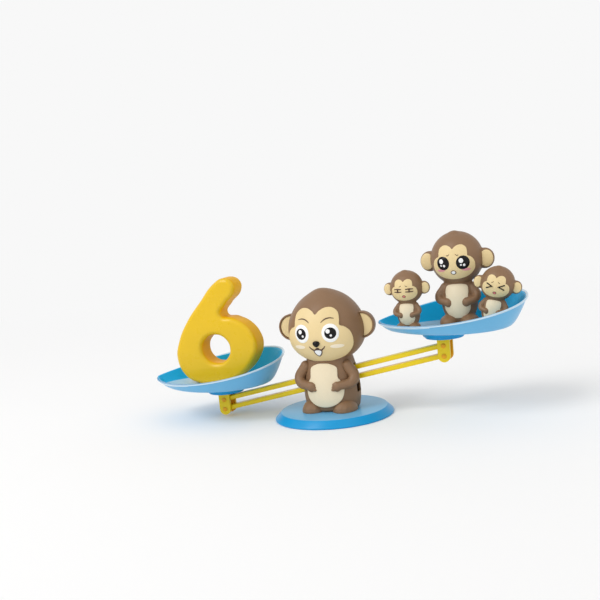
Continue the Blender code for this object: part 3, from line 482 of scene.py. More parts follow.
def moulded(name, forms, voxel, rounds):
    """Melts overlapping forms into one moulded piece with soft inner corners."""
    for form in forms:
        settle(form)
    pick(forms[0])
    for form in forms[1:]:
        form.select_set(True)
    bpy.ops.object.join()
    made = named(name)
    modify(made, "REMESH", mode="VOXEL", voxel_size=voxel, use_smooth_shade=True)
    modify(made, "SMOOTH", factor=0.5, iterations=rounds)
    return smooth(made, 80.0)


def dressed(obj, look, body, slot, *replaced):
    """Gives a finished piece its material, its body and the nodes it stands for. Its slot is not used."""
    if look:
        obj.data.materials.clear()
        for each in look if isinstance(look, tuple) else (look,):
            obj.data.materials.append(each)
    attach(obj, body)
    for node in replaced:
        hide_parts(node)
    return obj


def dressed_brown(obj, *replaced, body=STAND):
    """Dresses a piece in the monkeys' brown plastic."""
    return dressed(obj, fur_brown(), body, "brown_plastic", *replaced)


def finish_packed(look, *nodes):
    """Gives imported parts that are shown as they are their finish."""
    for node in nodes:
        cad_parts[node].data.materials[0] = look


def recolour(obj, slot, test):
    """Gives the faces that pass the test another material slot."""
    for face in obj.data.polygons:
        if test(face):
            face.material_index = slot


# Finishes

def shader(tree, kind, values=None, **settings):
    """A shader node with its settings, and its inputs set to values or linked to sockets."""
    made = tree.nodes.new(kind)
    for key, value in settings.items():
        setattr(made, key, value)
    for key, value in (values or {}).items():
        if isinstance(value, bpy.types.NodeSocket):
            tree.links.new(value, made.inputs[key])
        else:
            made.inputs[key].default_value = value
    return made


def noise(tree, place, scale, detail, roughness=0.5):
    values = {"Vector": place, "Scale": scale, "Detail": detail, "Roughness": roughness}
    return shader(tree, "ShaderNodeTexNoise", values).outputs["Fac"]


def remap(tree, value, low, high, to_low, to_high):
    values = {"Value": value, "From Min": low, "From Max": high, "To Min": to_low, "To Max": to_high}
    return shader(tree, "ShaderNodeMapRange", values).outputs["Result"]


def calculate(tree, operation, first, second):
    """A Math node on two sockets or numbers."""
    values = {0: first, 1: second}
    return shader(tree, "ShaderNodeMath", values, operation=operation).outputs["Value"]


def times(tree, first, second):
    return calculate(tree, "MULTIPLY", first, second)


def object_place(tree):
    return shader(tree, "ShaderNodeTexCoord").outputs["Object"]


def shader_group(name, inputs, outputs, build):
    """The shader group of this name. It is built when it is first asked for."""
    tree = bpy.data.node_groups.get(name)
    if tree:
        return tree
    tree = bpy.data.node_groups.new(name, "ShaderNodeTree")
    for key, value in inputs.items():
        kind = "NodeSocketColor" if isinstance(value, tuple) else "NodeSocketFloat"
        tree.interface.new_socket(name=key, in_out="INPUT", socket_type=kind).default_value = value
    for key, kind in outputs.items():
        tree.interface.new_socket(name=key, in_out="OUTPUT", socket_type=kind)
    found = build(tree, tree.nodes.new("NodeGroupInput").outputs, object_place(tree))
    ends = tree.nodes.new("NodeGroupOutput").inputs
    for key, socket in zip(outputs, found):
        tree.links.new(socket, ends[key])
    return tree


def build_skin(tree, given, place):
    clouds = times(tree, noise(tree, place, 34.0, 3.0), 0.7)
    specks = times(tree, noise(tree, place, 420.0, 2.0), 0.3)
    swing = remap(tree, calculate(tree, "ADD", clouds, specks), 0.3, 0.7, -1.0, 1.0)
    shade = calculate(tree, "ADD", times(tree, swing, given["Mottle"]), 1.0)
    tinted = shader(tree, "ShaderNodeVectorMath", {0: given["Colour"], "Scale": shade}, operation="SCALE")
    smears = remap(tree, noise(tree, place, 60.0, 5.0, 0.65), 0.35, 0.7, -0.5, 1.0)
    roughness = calculate(tree, "ADD", given["Gloss"], times(tree, smears, given["Smudge"]))
    grain = times(tree, noise(tree, place, 1500.0, 2.0), 0.35)
    height = calculate(tree, "ADD", grain, noise(tree, place, 70.0, 2.0))
    values = {"Distance": 0.4 * MM, "Strength": given["Grain"], "Height": height}
    bump = shader(tree, "ShaderNodeBump", values)
    return tinted.outputs["Vector"], roughness, bump.outputs["Normal"]


def moulded_skin():
    """Fine mould grain, faint mottling and handling smudges of injection moulded plastic."""
    inputs = {"Colour": (0.5, 0.5, 0.5, 1.0), "Mottle": 0.06, "Gloss": 0.35, "Smudge": 0.08, "Grain": 0.08}
    outputs = {"Colour": "NodeSocketColor", "Roughness": "NodeSocketFloat", "Normal": "NodeSocketVector"}
    return shader_group("moulded_skin", inputs, outputs, build_skin)


def build_scratches(tree, given, place):
    lines = []
    for turn, stretch in ((0.5, 900.0), (2.1, 700.0)):
        values = {"Vector": place, "Rotation": (turn, 0.6 * turn, turn), "Scale": (20.0, stretch, 60.0)}
        drawn_out = shader(tree, "ShaderNodeMapping", values).outputs["Vector"]
        lines.append(remap(tree, noise(tree, drawn_out, 1.0, 2.0), 0.66, 0.72, 0.0, 1.0))
    patches = remap(tree, noise(tree, place, 45.0, 3.0), 0.5, 0.66, 0.0, 1.0)
    both = calculate(tree, "MAXIMUM", *lines)
    return (times(tree, times(tree, both, patches), given["Amount"]),)


def fine_scratches():
    """A mask of thin worn scratches and rubbed specks."""
    return shader_group("fine_scratches", {"Amount": 0.3}, {"Mask": "NodeSocketFloat"}, build_scratches)


def plastic(name, colour, gloss, mottle, smudge, grain, coat=0.0, wear=0.0, metallic=0.0, shine=0.5):
    """A moulded plastic, paint or metal with the shared grain, smudges and scratches."""
    made = bpy.data.materials.get(name)
    if made:
        return made
    made = bpy.data.materials.new(name)
    made.use_nodes = True
    tree = made.node_tree
    ends = tree.nodes["Principled BSDF"].inputs
    plain = (*getattr(colours(), colour), 1.0)
    values = {"Colour": plain, "Mottle": mottle, "Gloss": gloss, "Smudge": smudge, "Grain": grain}
    skin = shader(tree, "ShaderNodeGroup", values, node_tree=moulded_skin()).outputs
    surface, roughness = skin["Colour"], skin["Roughness"]
    if wear:
        worn = shader(tree, "ShaderNodeGroup", {"Amount": wear}, node_tree=fine_scratches())
        mask = worn.outputs["Mask"]
        rubbed = (*(min(1.0, 0.75 * channel + 0.2) for channel in plain[:3]), 1.0)
        # A Mix node's colours are its inputs 6 and 7 and its output 2
        values = {0: mask, 6: surface, 7: rubbed}
        surface = shader(tree, "ShaderNodeMix", values, data_type="RGBA").outputs[2]
        roughness = calculate(tree, "ADD", roughness, times(tree, mask, 0.3))
    for key, socket in (("Base Color", surface), ("Roughness", roughness), ("Normal", skin["Normal"])):
        tree.links.new(socket, ends[key])
    ends["Coat Weight"].default_value = coat
    ends["Coat Roughness"].default_value = 0.08
    ends["Metallic"].default_value = metallic
    ends["Specular IOR Level"].default_value = shine
    return made


# Each finish below: its colour, gloss, mottle, smudge and grain, then what is its own

def fur_brown():
    return plastic("fur_brown_plastic", "brown", 0.42, 0.04, 0.07, 0.08, wear=0.1, shine=0.35)


def face_beige():
    return plastic("face_beige_plastic", "beige", 0.45, 0.03, 0.06, 0.05, shine=0.35)


def belly_cream():
    return plastic("belly_cream_plastic", "cream", 0.45, 0.03, 0.06, 0.05, shine=0.35)


def pupil_black():
    return plastic("pupil_black_gloss", "black", 0.14, 0.02, 0.04, 0.0, shine=0.22)


# White for the whites of the eyes and the mouths, and for the painted highlights on the pupils
def eye_white():
    return plastic("eye_white_gloss", "white", 0.2, 0.01, 0.04, 0.0, coat=0.3)


def line_brown():
    return plastic("line_brown_paint", "line", 0.4, 0.04, 0.05, 0.0)


def mouth_red():
    return plastic("mouth_red_paint", "tongue", 0.35, 0.04, 0.05, 0.0)


# Pale spots on the big monkey's cheeks, as painted highlights
def painted_cheek_highlight():
    return plastic("painted_cheek_highlight_paint", "cheek", 0.45, 0.02, 0.05, 0.0)


def cheek_pink():
    return plastic("cheek_pink_paint", "blush", 0.45, 0.04, 0.05, 0.0)


def sky_blue():
    return plastic("sky_blue_gloss", "sky", 0.3, 0.012, 0.05, 0.02, wear=0.03, shine=0.18)


def deep_blue_and_base_side_shade():
    return plastic("deep_blue_and_base_side_shade_gloss", "deep", 0.3, 0.02, 0.05, 0.02, wear=0.04, shine=0.25)


def inside_blue():
    return plastic("inside_blue_gloss", "inside", 0.32, 0.02, 0.05, 0.02, wear=0.04, shine=0.2)


def pale_blue_and_painted_rim_highlight():
    return plastic("pale_blue_and_painted_rim_highlight_gloss", "pale", 0.18, 0.015, 0.05, 0.03, coat=0.3, wear=0.08)


def bar_yellow():
    return plastic("bar_yellow_plastic", "yellow", 0.34, 0.02, 0.06, 0.03, coat=0.1, wear=0.06, shine=0.35)


def rivet_orange_and_painted_bracket_shade():
    return plastic("rivet_orange_and_painted_bracket_shade_plastic", "orange", 0.36, 0.03, 0.06, 0.03, shine=0.35)


def numeral_yellow():
    return plastic(
        "numeral_yellow_gloss", "numeral", 0.28, 0.02, 0.05, 0.03, coat=0.15, wear=0.05, shine=0.35
    )


def numeral_painted_side_shade():
    return plastic("numeral_painted_side_shade_gloss", "amber", 0.4, 0.02, 0.05, 0.03, wear=0.05, shine=0.1)


def bright_steel():
    return plastic("bright_steel", "steel", 0.3, 0.06, 0.12, 0.05, wear=0.3, metallic=1.0)


# The stand and the monkey

def make_base():
    """A round base with a sloped side, soft edges and a hollow that the cover closes."""
    lean, edge, low_edge, wall = 5.5 * MM, 2.2 * MM, 1.2 * MM, 2.4 * MM
    top_radius = BASE_RADIUS - lean
    cover_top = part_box("base_cover")[1].z + sizes().seat_gap
    slope = degrees(atan2(lean, BASE_TOP))
    profile = [(0.0, BASE_TOP)]
    profile += arc(top_radius - edge, BASE_TOP - edge, edge, 90.0, slope)
    profile += arc(BASE_RADIUS - low_edge, low_edge, low_edge, slope, -90.0)
    profile += [(BASE_RADIUS - wall, 0.0), (BASE_RADIUS - wall, cover_top), (0.0, cover_top)]
    base = smooth(turned("base_top", profile, 160), 35.0)
    dressed(base, (sky_blue(), deep_blue_and_base_side_shade()), STAND, "sky_blue_plastic", "base")
    # Top and side are one plastic: the deep blue on the sloped side is painted shade
    recolour(base, 1, lambda face: face.normal.z < 0.86 and face.center.xy.length > top_radius - edge)
    finish_packed(deep_blue_and_base_side_shade(), "base_cover")


def body_half_width(share):
    """Half the body's width at this share of its height. It is widest at the belly."""
    belly = 0.28
    if share > belly:
        drawn_in = 0.26 * ((share - belly) / (1.0 - belly)) ** 2
    else:
        drawn_in = 0.09 * ((belly - share) / belly) ** 2
    return sizes().body_half_width * (1.0 - drawn_in)


def body_form(name, grow, steps=112):
    """The body's outer form, swelled by this much."""
    low, high = BODY_BOTTOM - grow, BODY_TOP + grow
    edge = sizes().body_edge
    stations = 22
    side = []
    for index in range(stations + 1):
        height = high - edge - (high - low - 2.0 * edge) * index / stations
        side.append((body_half_width((height - low) / (high - low)) + grow, height))
    profile = [(0.0, high)] + arc(side[0][0] - edge, high - edge, edge, 90.0, 8.0)
    profile += side + arc(side[-1][0] - edge, low + edge, edge, -8.0, -90.0) + [(0.0, low)]
    form = turned(name, profile, steps)
    form.scale.y = (sizes().body_half_depth + grow) / (sizes().body_half_width + grow)
    return settle(form)


def head_form(name, grow, segments=112, rings=72):
    """The head's outer form: a ball that is fuller at the cheeks and has a soft crest on top."""
    s = sizes()
    centre = (0.0, 0.0, HEAD_TOP - s.head_half_height)
    radii = (s.head_half_width + grow, s.head_half_depth + grow, s.head_half_height + grow)
    form = settle(ball(name, centre, radii, segments, rings), whole=False)
    modify(form, "SIMPLE_DEFORM", deform_method="TAPER", deform_axis="Z", factor=-2.0 * s.cheek_fullness)
    settle(form)
    squash = 1.0 - s.head_crest / radii[2]
    edit(form, lambda vertex: vertex.co.z > centre[2] + 0.01 * MM)
    bpy.ops.transform.resize(value=(1.0, 1.0, squash), center_override=centre)
    top = max(vertex.co.z for vertex in bmesh.from_edit_mesh(form.data).verts)
    edit(form, lambda vertex: vertex.co.z > top - 0.001 * MM)
    bpy.ops.transform.translate(
        value=(-0.8 * s.head_crest, -2.2 * s.head_crest, s.head_crest), use_proportional_edit=True,
        proportional_edit_falloff="SMOOTH", proportional_size=0.5 * s.head_half_height,
    )
    leave_edit()
    return form


def halved(form, name, side):
    """The front or back half of a closed form, with a fine rounded edge at the parting line."""
    half = form.copy()
    half.data = form.data.copy()
    half.name = half.data.name = name
    bpy.context.scene.collection.objects.link(half)
    edit(half)
    bpy.ops.mesh.bisect(
        plane_co=(0.0, side * sizes().seam_gap, 0.0), plane_no=(0.0, side, 0.0), use_fill=True,
        clear_inner=True, clear_outer=False,
    )
    bpy.ops.mesh.select_all(action="DESELECT")
    for face in bmesh.from_edit_mesh(half.data).faces:
        face.select = abs(face.normal.y) > 0.999 and abs(face.calc_center_median().y) < 0.2 * MM
    bmesh.update_edit_mesh(half.data)
    bpy.ops.mesh.region_to_loop()
    bpy.ops.mesh.bevel(offset=0.25 * MM, segments=2, clamp_overlap=True)
    leave_edit()
    return half


def screw_seat(node):
    """A cutter for the round seat that a screw is sunk into."""
    low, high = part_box(node)
    place, depth, reach = middle(node), 2.1 * MM, 60.0 * MM
    radius = 0.5 * (high.x - low.x) + sizes().seat_gap
    return bar("seat", (place.x, high.y - depth, place.z), (place.x, reach, place.z), radius)


def make_shells(part, outer, inside, *slots):
    """The front and back shell of the body or the head, hollowed by the form inside."""
    for end, side in (("front", -1), ("back", 1)):
        node = f"{part}_{end}_shell"
        shell = cut(halved(outer, node + "_piece", side), inside, keep=True)
        if end == "back":
            for label in SIDES:
                cut(shell, screw_seat(f"{part}_screw_{label}"))
        cut(shell, *slots, keep=True)
        dressed_brown(smooth(shell), node)
    remove(inside, *slots)


def belly_outline():
    """A round belly that draws in between the arms and widens again under the chin."""
    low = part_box("belly_plate")[0].z
    right = [
        (10.6, 2.2), (17.6, 8.4), (20.0, 17.5), (18.6, 25.0), (14.8, 31.0), (14.4, 36.5), (13.4, 42.0),
        (7.0, 45.6),
    ]
    return [(x * MM, z * MM + low) for x, z in mirrored(0.0, right, 46.4)]


def make_body():
    """The hollow shells with the slots that the bars swing in, and the belly plate."""
    s = sizes()
    outer = body_form("body_outer", 0.0)
    beam_low, beam_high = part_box("upper_beam")
    side_room, end_room, swing = 0.8 * MM, 3.3 * MM, radians(12.0)
    half, reach = 0.5 * (beam_high.y - beam_low.y) + side_room, 60.0 * MM
    rise = s.body_half_width * tan(swing) + end_room
    slot = block("slot", (-reach, -half, LOWER_AXLE_Z - rise), (reach, half, UPPER_AXLE_Z + rise))
    make_shells("body", outer, body_form("body_inner", -s.shell_wall, 64), slot)
    belly = skin_on("belly_plate_piece", outer, belly_outline(), s.seat_gap, s.skin, rings=18)
    dressed(belly, belly_cream(), STAND, "beige_plastic", "belly_plate")
    remove(outer)


def neck():
    """A cutter for the seat of the body's neck."""
    return body_form("neck", sizes().seat_gap, 64)


def body_room():
    """A cutter that fits the arms and feet to the body."""
    return body_form("body_cut", 0.1 * MM, 64)


def make_head():
    """The two shells of the head, seated on the body's neck."""
    outer = head_form("head_outer", 0.0)
    make_shells("head", outer, neck())
    remove(outer)


def face_outline():
    """The heart-like edge of a monkey's face, in a face's units."""
    right = [
        (3.8, 18.6), (9.6, 21.4), (16.2, 21.0), (21.8, 16.4), (23.6, 9.4), (24.0, 3.6), (28.0, 1.6),
        (32.4, -3.2), (34.2, -11.0), (32.2, -20.4), (24.4, -28.8), (12.6, -33.4),
    ]
    return mirrored(15.2, right, -34.8)


class Face:
    """The front of a head, measured in a unit that is a millimetre on a head 84 mm wide.

    Every mark that is put on it comes back together with its finish.
    """

    def __init__(self, target, centre_z, scale, gap=0.0):
        self.target, self.centre_z, self.unit, self.gap = target, centre_z, MM * scale, gap

    def places(self, points):
        return [(x * self.unit, self.centre_z + z * self.unit) for x, z in points]

    def dome(self, name, look, x, z, half_width, half_height, bulge, on=None):
        """An oval dome on the face, or on another piece that stands on it."""
        x, z = self.places([(x, z)])[0]
        width, height, bulge = (size * self.unit for size in (half_width, half_height, bulge))
        return dome_on(name, on or self.target, x, z, width, height, bulge, 0.0 if on else self.gap), look

    def stroke(self, name, look, points, radius, handles="AUTO"):
        made = stroke_on(name, self.target, self.places(points), radius * self.unit, self.gap, handles)
        return made, look

    def patch(self, name, look, points, thickness, sunk=0.0, rings=6, fineness=6):
        gap = self.gap - sunk * self.unit
        thickness *= self.unit
        return skin_on(name, self.target, self.places(points), gap, thickness, rings, fineness), look


def painted_glints(face, name, pupil, x, z, size):
    """Painted highlights on a pupil, as white domes: a large one above and a small one below."""
    spots = (("glint", -1.5, 2.1, 2.3, 2.4), ("spark", 1.3, -2.4, 1.4, 1.4))
    return [
        face.dome(f"{name}_eye_{kind}", eye_white(), x + across * size, z + up * size,
                  half_width * size, half_height * size, 0.2, pupil)
        for kind, across, up, half_width, half_height in spots
    ]


def round_eye(face, name, side):
    """A white dome, a black pupil that swells out of it and two painted highlights on that."""
    x, z = side * 15.4, -3.6
    white = face.dome(name + "_eye_white", eye_white(), x, z, 9.2, 9.8, 0.9)
    pupil = face.dome(name + "_eye_pupil", pupil_black(), x, z, 8.5, 8.6, 1.3)
    return [white, pupil] + painted_glints(face, name, pupil[0], x, z, 1.0)


def dark_eye(face, name, side):
    """A big dark eye without a white, with three painted highlights."""
    x, z = side * 15.8, -7.2
    pupil = face.dome(name + "_eye_pupil", pupil_black(), x, z, 11.0, 11.0, 1.5)
    marks = [pupil] + painted_glints(face, name, pupil[0], x, z, 1.55)
    return marks + [face.dome(name + "_eye_gleam", eye_white(), x - 2.9, z - 3.4, 1.6, 1.6, 0.2, pupil[0])]


def shut_eye(face, name, side, mood):
    """A shut eye as painted lines: two flat ones and a short one, or two strokes that meet."""
    x = side * 14.5
    if mood == "squeezed":
        line = [(x + side * 7.0, -0.5), (x - side * 6.5, -6.5), (x + side * 7.0, -12.5)]
        return [face.stroke(name + "_lid", pupil_black(), line, 3.0, "VECTOR")]
    lines = {
        "lid": [(x - 9.5, -4.0), (x, -3.5), (x + 9.5, -4.0)],
        "lash": [(x - 9.5, -10.2), (x, -10.6), (x + 9.5, -10.2)],
        "iris": [(x, -4.0), (x, -7.1), (x, -10.2)],
    }
    return [face.stroke(f"{name}_{kind}", line_brown(), line, 1.8) for kind, line in lines.items()]


def brow(face, name, side, arch, radius):
    return face.stroke(name + "_brow", line_brown(), [(side * x, z) for x, z in arch], radius)


def cheeks(face, name, look):
    return [
        face.patch(f"{name}_{label}_cheek", look, ellipse(side * 19.8, -17.4, 6.4, 2.0), 0.25,
                   sunk=0.05, rings=5, fineness=4)
        for label, side in SIDES.items()
    ]


def smile(face):
    """The lip line under the nose and a small open mouth with a dark edge."""
    edge = [(-4.5, -20.3), (0.0, -19.5), (4.5, -20.3), (3.7, -24.6), (0.0, -27.7), (-3.7, -24.6)]
    teeth = [(-3.4, -21.1), (0.0, -20.5), (3.4, -21.1), (2.7, -24.2), (0.0, -26.5), (-2.7, -24.2)]
    half_lip = [(8.4, -16.6), (6.2, -19.0), (3.2, -20.4)]
    lip = [(-x, z) for x, z in half_lip] + [(0.0, -18.5)] + half_lip[::-1]
    return [
        face.patch("big_mouth_edge", line_brown(), edge, 0.3, sunk=0.05),
        face.patch("big_mouth", eye_white(), teeth, 0.45, sunk=0.02),
        face.stroke("big_lip_line", line_brown(), lip, 0.72),
    ]


def small_mouth(face, name, look):
    """A small round mouth with a dark edge."""
    return [
        face.patch(name + "_mouth_edge", line_brown(), ellipse(0.0, -22.0, 4.4, 3.4, 8), 0.3),
        face.patch(name + "_mouth", look, ellipse(0.0, -22.0, 3.1, 2.2, 8), 0.5),
    ]


def nose_on(face):
    """A round nose that is broader above."""
    place, normal = surface_at(face.target, 0.0, face.centre_z - 13.8 * face.unit)
    radii = Vector((3.8, 2.6, 3.3)) * face.unit
    nose = ball("big_nose_tip", place + normal * (face.gap + 0.6 * face.unit), radii, 40, 24)
    settle(nose, whole=False)
    modify(nose, "SIMPLE_DEFORM", deform_method="TAPER", deform_axis="Z", factor=0.5)
    return smooth(settle(nose), 80.0)


def make_face():
    """The face plate with the eyes, the nose and the painted marks."""
    s = sizes()
    outer = head_form("head_outer", 0.0)
    face = Face(outer, HEAD_TOP - s.head_half_height, 1.0, s.seat_gap + s.skin)
    outline = face.places(face_outline())
    plate = cut(skin_on("face_plate_piece", outer, outline, s.seat_gap, s.skin, rings=20), neck())
    dressed(smooth(plate, 50.0), face_beige(), STAND, "beige_plastic", "face_plate")
    for label, side in SIDES.items():
        white, pupil, *spots = round_eye(face, label, side)
        dressed(*white, STAND, "beige_plastic")
        dressed(*pupil, STAND, "black_gloss", label + "_eye")
        # The spots are painted highlights on the pupil
        for piece, look in spots:
            dressed(piece, look, STAND, "beige_plastic")
    dressed(nose_on(face), pupil_black(), STAND, "black_gloss", "nose")
    arch = [(6.4, 7.2), (9.8, 10.0), (14.2, 11.2), (18.8, 10.4)]
    painted = smile(face)
    painted += [brow(face, f"big_{label}", side, arch, 0.62) for label, side in SIDES.items()]
    # The big monkey's pale cheek spots are painted highlights
    for piece, look in painted + cheeks(face, "big", painted_cheek_highlight()):
        dressed(piece, look, STAND, "brown_plastic")
    remove(outer)


def make_ears():
    """Round ears with a soft rim round a shallow hollow and a pale disc inside."""
    s = sizes()
    back_round, rim, disc_edge = 2.6 * MM, 0.9 * MM, 0.7 * MM
    for label, side in SIDES.items():
        low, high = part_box(label + "_ear")
        radius, half = 0.5 * (high.z - low.z), 0.5 * (high.y - low.y)
        outer_x = low.x if side < 0 else high.x
        centre = Vector((outer_x - side * radius, 0.0, middle(label + "_ear").z))
        hollow, floor = radius - 2.0 * rim, half - 2.4 * MM
        cup = [(0.0, floor), (hollow, floor)] + arc(hollow + rim, half - rim, rim, 180.0, 0.0, 10)
        cup += arc(radius - back_round, back_round - half, back_round, 0.0, -90.0) + [(0.0, -half)]
        pale, foot = hollow - 0.3 * MM, floor + 0.1 * MM
        disc = [(0.0, half - 0.9 * MM), (0.6 * pale, half - 1.1 * MM)]
        disc += arc(pale - disc_edge, half - 2.0 * MM, disc_edge, 90.0, 0.0, 4)
        disc += [(pale, foot), (0.0, foot)]
        for kind, profile, steps, look, slot, node in (
            ("_ear_cup", cup, 96, fur_brown(), "brown_plastic", "_ear"),
            ("_ear_disc", disc, 72, face_beige(), "beige_plastic", "_inner_ear"),
        ):
            piece = face_front(turned(label + kind, profile, steps), centre)
            cut(piece, head_form("head_side", s.seat_gap, 64, 40))
            dressed(smooth(piece), look, STAND, slot, label + node)


def make_arm(label, side, plate_room):
    """An arm from the shoulder over the elbow to a hand with three fingers on the belly."""
    s = sizes()
    arm_radius, hand_radius = 6.0 * MM, 5.0 * MM
    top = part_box(label + "_arm")[1].z
    shoulder = Vector((side * 0.76 * s.body_half_width, -12.3 * MM, top - 0.5 * arm_radius))
    elbow = Vector((side * 0.98 * s.body_half_width, -15.6 * MM, LOWER_AXLE_Z + 7.0 * MM))
    hand = Vector((side * 14.2 * MM, -s.body_half_depth + 1.0 * MM, LOWER_AXLE_Z + 0.5 * MM))
    radii = [arm_radius, 0.98 * arm_radius, 0.9 * hand_radius]
    forms = [
        tube("upper_arm", [shoulder, elbow, hand], radii, 10),
        ball("shoulder", shoulder, (arm_radius,) * 3),
        ball("palm", hand, (1.02 * hand_radius, 0.8 * hand_radius, 1.1 * hand_radius)),
    ]
    for finger in range(3):
        tip = hand + Vector((-side * (2.2 + 0.8 * finger), -1.3, 2.6 - 2.9 * finger)) * MM
        forms.append(ball("finger", tip, (2.6 * MM, 1.9 * MM, 1.5 * MM), 24, 16))
    arm = moulded(label + "_arm_piece", forms, voxel=0.6 * MM, rounds=4)
    cut(cut(arm, body_room()), plate_room, keep=True)
    dressed_brown(smooth(arm, 50.0), label + "_arm")


def make_foot(label):
    """A foot with three toes, flat below and fitted to the body."""
    node = label + "_foot"
    centre = Vector((middle(node).x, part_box(node)[0].y + 17.0 * MM, BODY_BOTTOM))
    forms = [ball("sole", centre, (13.2 * MM, 16.8 * MM, 12.8 * MM))]
    for toe in (-1, 0, 1):
        tip = centre + Vector((toe * 5.0, abs(toe) * 1.5 - 12.6, 3.4)) * MM
        forms.append(ball("toe", tip, (2.9 * MM, 3.8 * MM, 3.4 * MM), 24, 16))
    foot = moulded(node + "_piece", forms, voxel=0.6 * MM, rounds=3)
    cut(foot, block("below", (-0.1, -0.1, -0.1), (0.1, 0.1, BODY_BOTTOM)), body_room())
    dressed_brown(smooth(foot, 50.0), node)


def make_limbs():
    """The arms, which lie round the belly plate, and the feet."""
    s = sizes()
    outer = body_form("body_outer", 0.0)
    room = s.seat_gap + s.skin + 0.1 * MM
    plate_room = skin_on("plate_room", outer, belly_outline(), 0.0, room, rings=18)
    for label, side in SIDES.items():
        make_arm(label, side, plate_room)
        make_foot(label)
    remove(outer, plate_room)


# The linkage and the dishes

def make_linkage():
    """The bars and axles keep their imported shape. The brackets and rivets are modelled."""
    finish_packed(bar_yellow(), "upper_beam", "lower_beam")
    finish_packed(bright_steel(), "upper_axle", "lower_axle")
    for label, pivot in HANGERS.items():
        make_bracket(label, pivot)
        make_rivet(label, f"{label}_upper_pin", pivot)
        make_rivet(label, f"{label}_lower_pin", pivot - Vector((0.0, 0.0, PIN_SPACING)))


def make_bracket(label, pivot):
    """Two rounded cheeks under a bridge, with the peg for the dish foot."""
    node = label + "_bracket"
    low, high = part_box(node)
    cheek, bridge, peg_radius, bore = 2.8 * MM, 2.6 * MM, 4.5 * MM, 1.9 * MM
    half = 0.5 * (high.x - low.x)
    x, bottom = pivot.x, pivot.z - PIN_SPACING
    bridge_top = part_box(label + "_dish_foot")[0].z - sizes().seat_gap
    plates = []
    for near, far in ((low.y, low.y + cheek), (high.y - cheek, high.y)):
        plate = block("cheek", (x - half, near, bottom), (x + half, far, bridge_top))
        plates.append(combine(plate, bar("tip", (x, near, bottom), (x, far, bottom), half, 64)))
    bracket = combine(
        *plates,
        block("bridge", (x - half, low.y, bridge_top - bridge), (x + half, high.y, bridge_top)),
        bar("peg", (x, 0.0, bridge_top - 0.5 * bridge), (x, 0.0, high.z), peg_radius, 48),
    )
    for z in (pivot.z, bottom):
        cut(bracket, bar("hole", (x, -0.03, z), (x, 0.03, z), bore, 40))
    bracket.name = node + "_piece"
    smooth(soften(bracket, 0.45 * MM, 40.0), 35.0)
    dressed(bracket, (bar_yellow(), rivet_orange_and_painted_bracket_shade()), label + "_hanger", "yellow_plastic", node)
    within = high.y - 0.6 * cheek
    # The cheeks' inner faces, which face each other, get the orange as painted shade
    recolour(bracket, 1, lambda face: abs(face.center.y) < within and abs(face.normal.y) > 0.7)


def make_rivet(label, node, place):
    """A domed rivet through both cheeks."""
    low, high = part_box(node)
    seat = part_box(label + "_bracket")[1].y + sizes().seat_gap
    head, crown, shank = 0.5 * (high.z - low.z), high.y - seat, 1.6 * MM
    dome = ((0.0, 0.0), (0.35, 0.06), (0.7, 0.3), (0.92, 0.65), (1.0, 0.9), (0.97, 1.0))
    shape = [(out * head, high.y - drop * crown) for out, drop in dome] + [(shank, seat)]
    profile = shape + [(radius, -height) for radius, height in reversed(shape)]
    rivet = smooth(face_front(turned(node + "_rivet", profile, 48), place))
    dressed(rivet, rivet_orange_and_painted_bracket_shade(), label + "_hanger", "bronze_pin", node)


def drop_outline(angle):
    """The dish's outline as shares: round at angle 0, narrowing to a point on the left."""
    power = 0.25
    widest = 2.0 * (1.0 + 2.0 * power) ** (0.5 + power) / (2.0 + 2.0 * power) ** (1.0 + power)
    return cos(angle), sin(angle) * ((1.0 + cos(angle)) / 2.0) ** power / widest


def rim_height(x, y):
    """The rim lies in a plane that climbs to the right and to the rear."""
    climb_right, climb_back = radians(7.5), radians(8.0)
    return parts().dish_wall_height + x * tan(climb_right) + y * tan(climb_back)


def dish_ring(out, rise, proud=0.0, steps=160):
    """A ring of the dish, by how far out it is, its share of the rim's height and how proud it is."""
    p = parts()
    points = []
    for step in range(steps):
        across, along = drop_outline(tau * step / steps)
        inset = p.dish_wall_run * (1.0 - out) - proud
        x = across * (p.dish_half_length - inset) - 3.0 * MM * (1.0 - out)
        y = along * (p.dish_half_depth - inset * p.dish_half_depth / p.dish_half_length)
        rim = rim_height(across * p.dish_half_length, along * p.dish_half_depth)
        points.append(Vector((x, y, rise * rim)))
    return points


def make_dish(label):
    """A scoop with a pale floor and a rim painted pale as a highlight, its wall flaring out of the floor.
    """
    p = parts()
    levels, wall_end = 12, 0.97
    outs = [level / levels * wall_end for level in range(levels + 1)]
    rings = [dish_ring(out, 0.92 * out ** 1.45) for out in outs]
    lip = ((0.91, 0.9), (0.935, 1.2), (0.98, 1.2), (1.0, 0.8))
    rings += [dish_ring(1.0, rise, proud * MM) for rise, proud in lip]
    dish = lofted(label + "_dish_scoop", rings)
    edit(dish, lambda vertex: vertex.index < len(rings[0]))
    bpy.ops.mesh.edge_face_add()
    face_along(dish, Vector((0.0, 0.0, -1.0)))
    for look in (sky_blue(), inside_blue(), pale_blue_and_painted_rim_highlight()):
        dish.data.materials.append(look)
    # The top of the wall and the lip, inside and out, get the pale blue as a painted highlight
    recolour(dish, 2, lambda face: face.center.z > 0.915 * rim_height(face.center.x, face.center.y))
    modify(
        dish, "SOLIDIFY", thickness=p.dish_wall, offset=-1.0, use_even_offset=True, material_offset=1,
        material_offset_rim=2,
    )
    smooth(soften(dish, 0.5 * MM, 60.0), 30.0)
    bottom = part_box(label + "_dish")[0].z
    dish.location = (HANGERS[label].x + SIDES[label] * p.dish_offset, 0.0, bottom)
    settle(dish)
    floor_z = bottom + p.dish_wall
    recolour(dish, 2, lambda face: face.normal.z > 0.97 and abs(face.center.z - floor_z) < 0.5 * MM)
    dressed(dish, None, label + "_hanger", "sky_blue_plastic", label + "_dish")


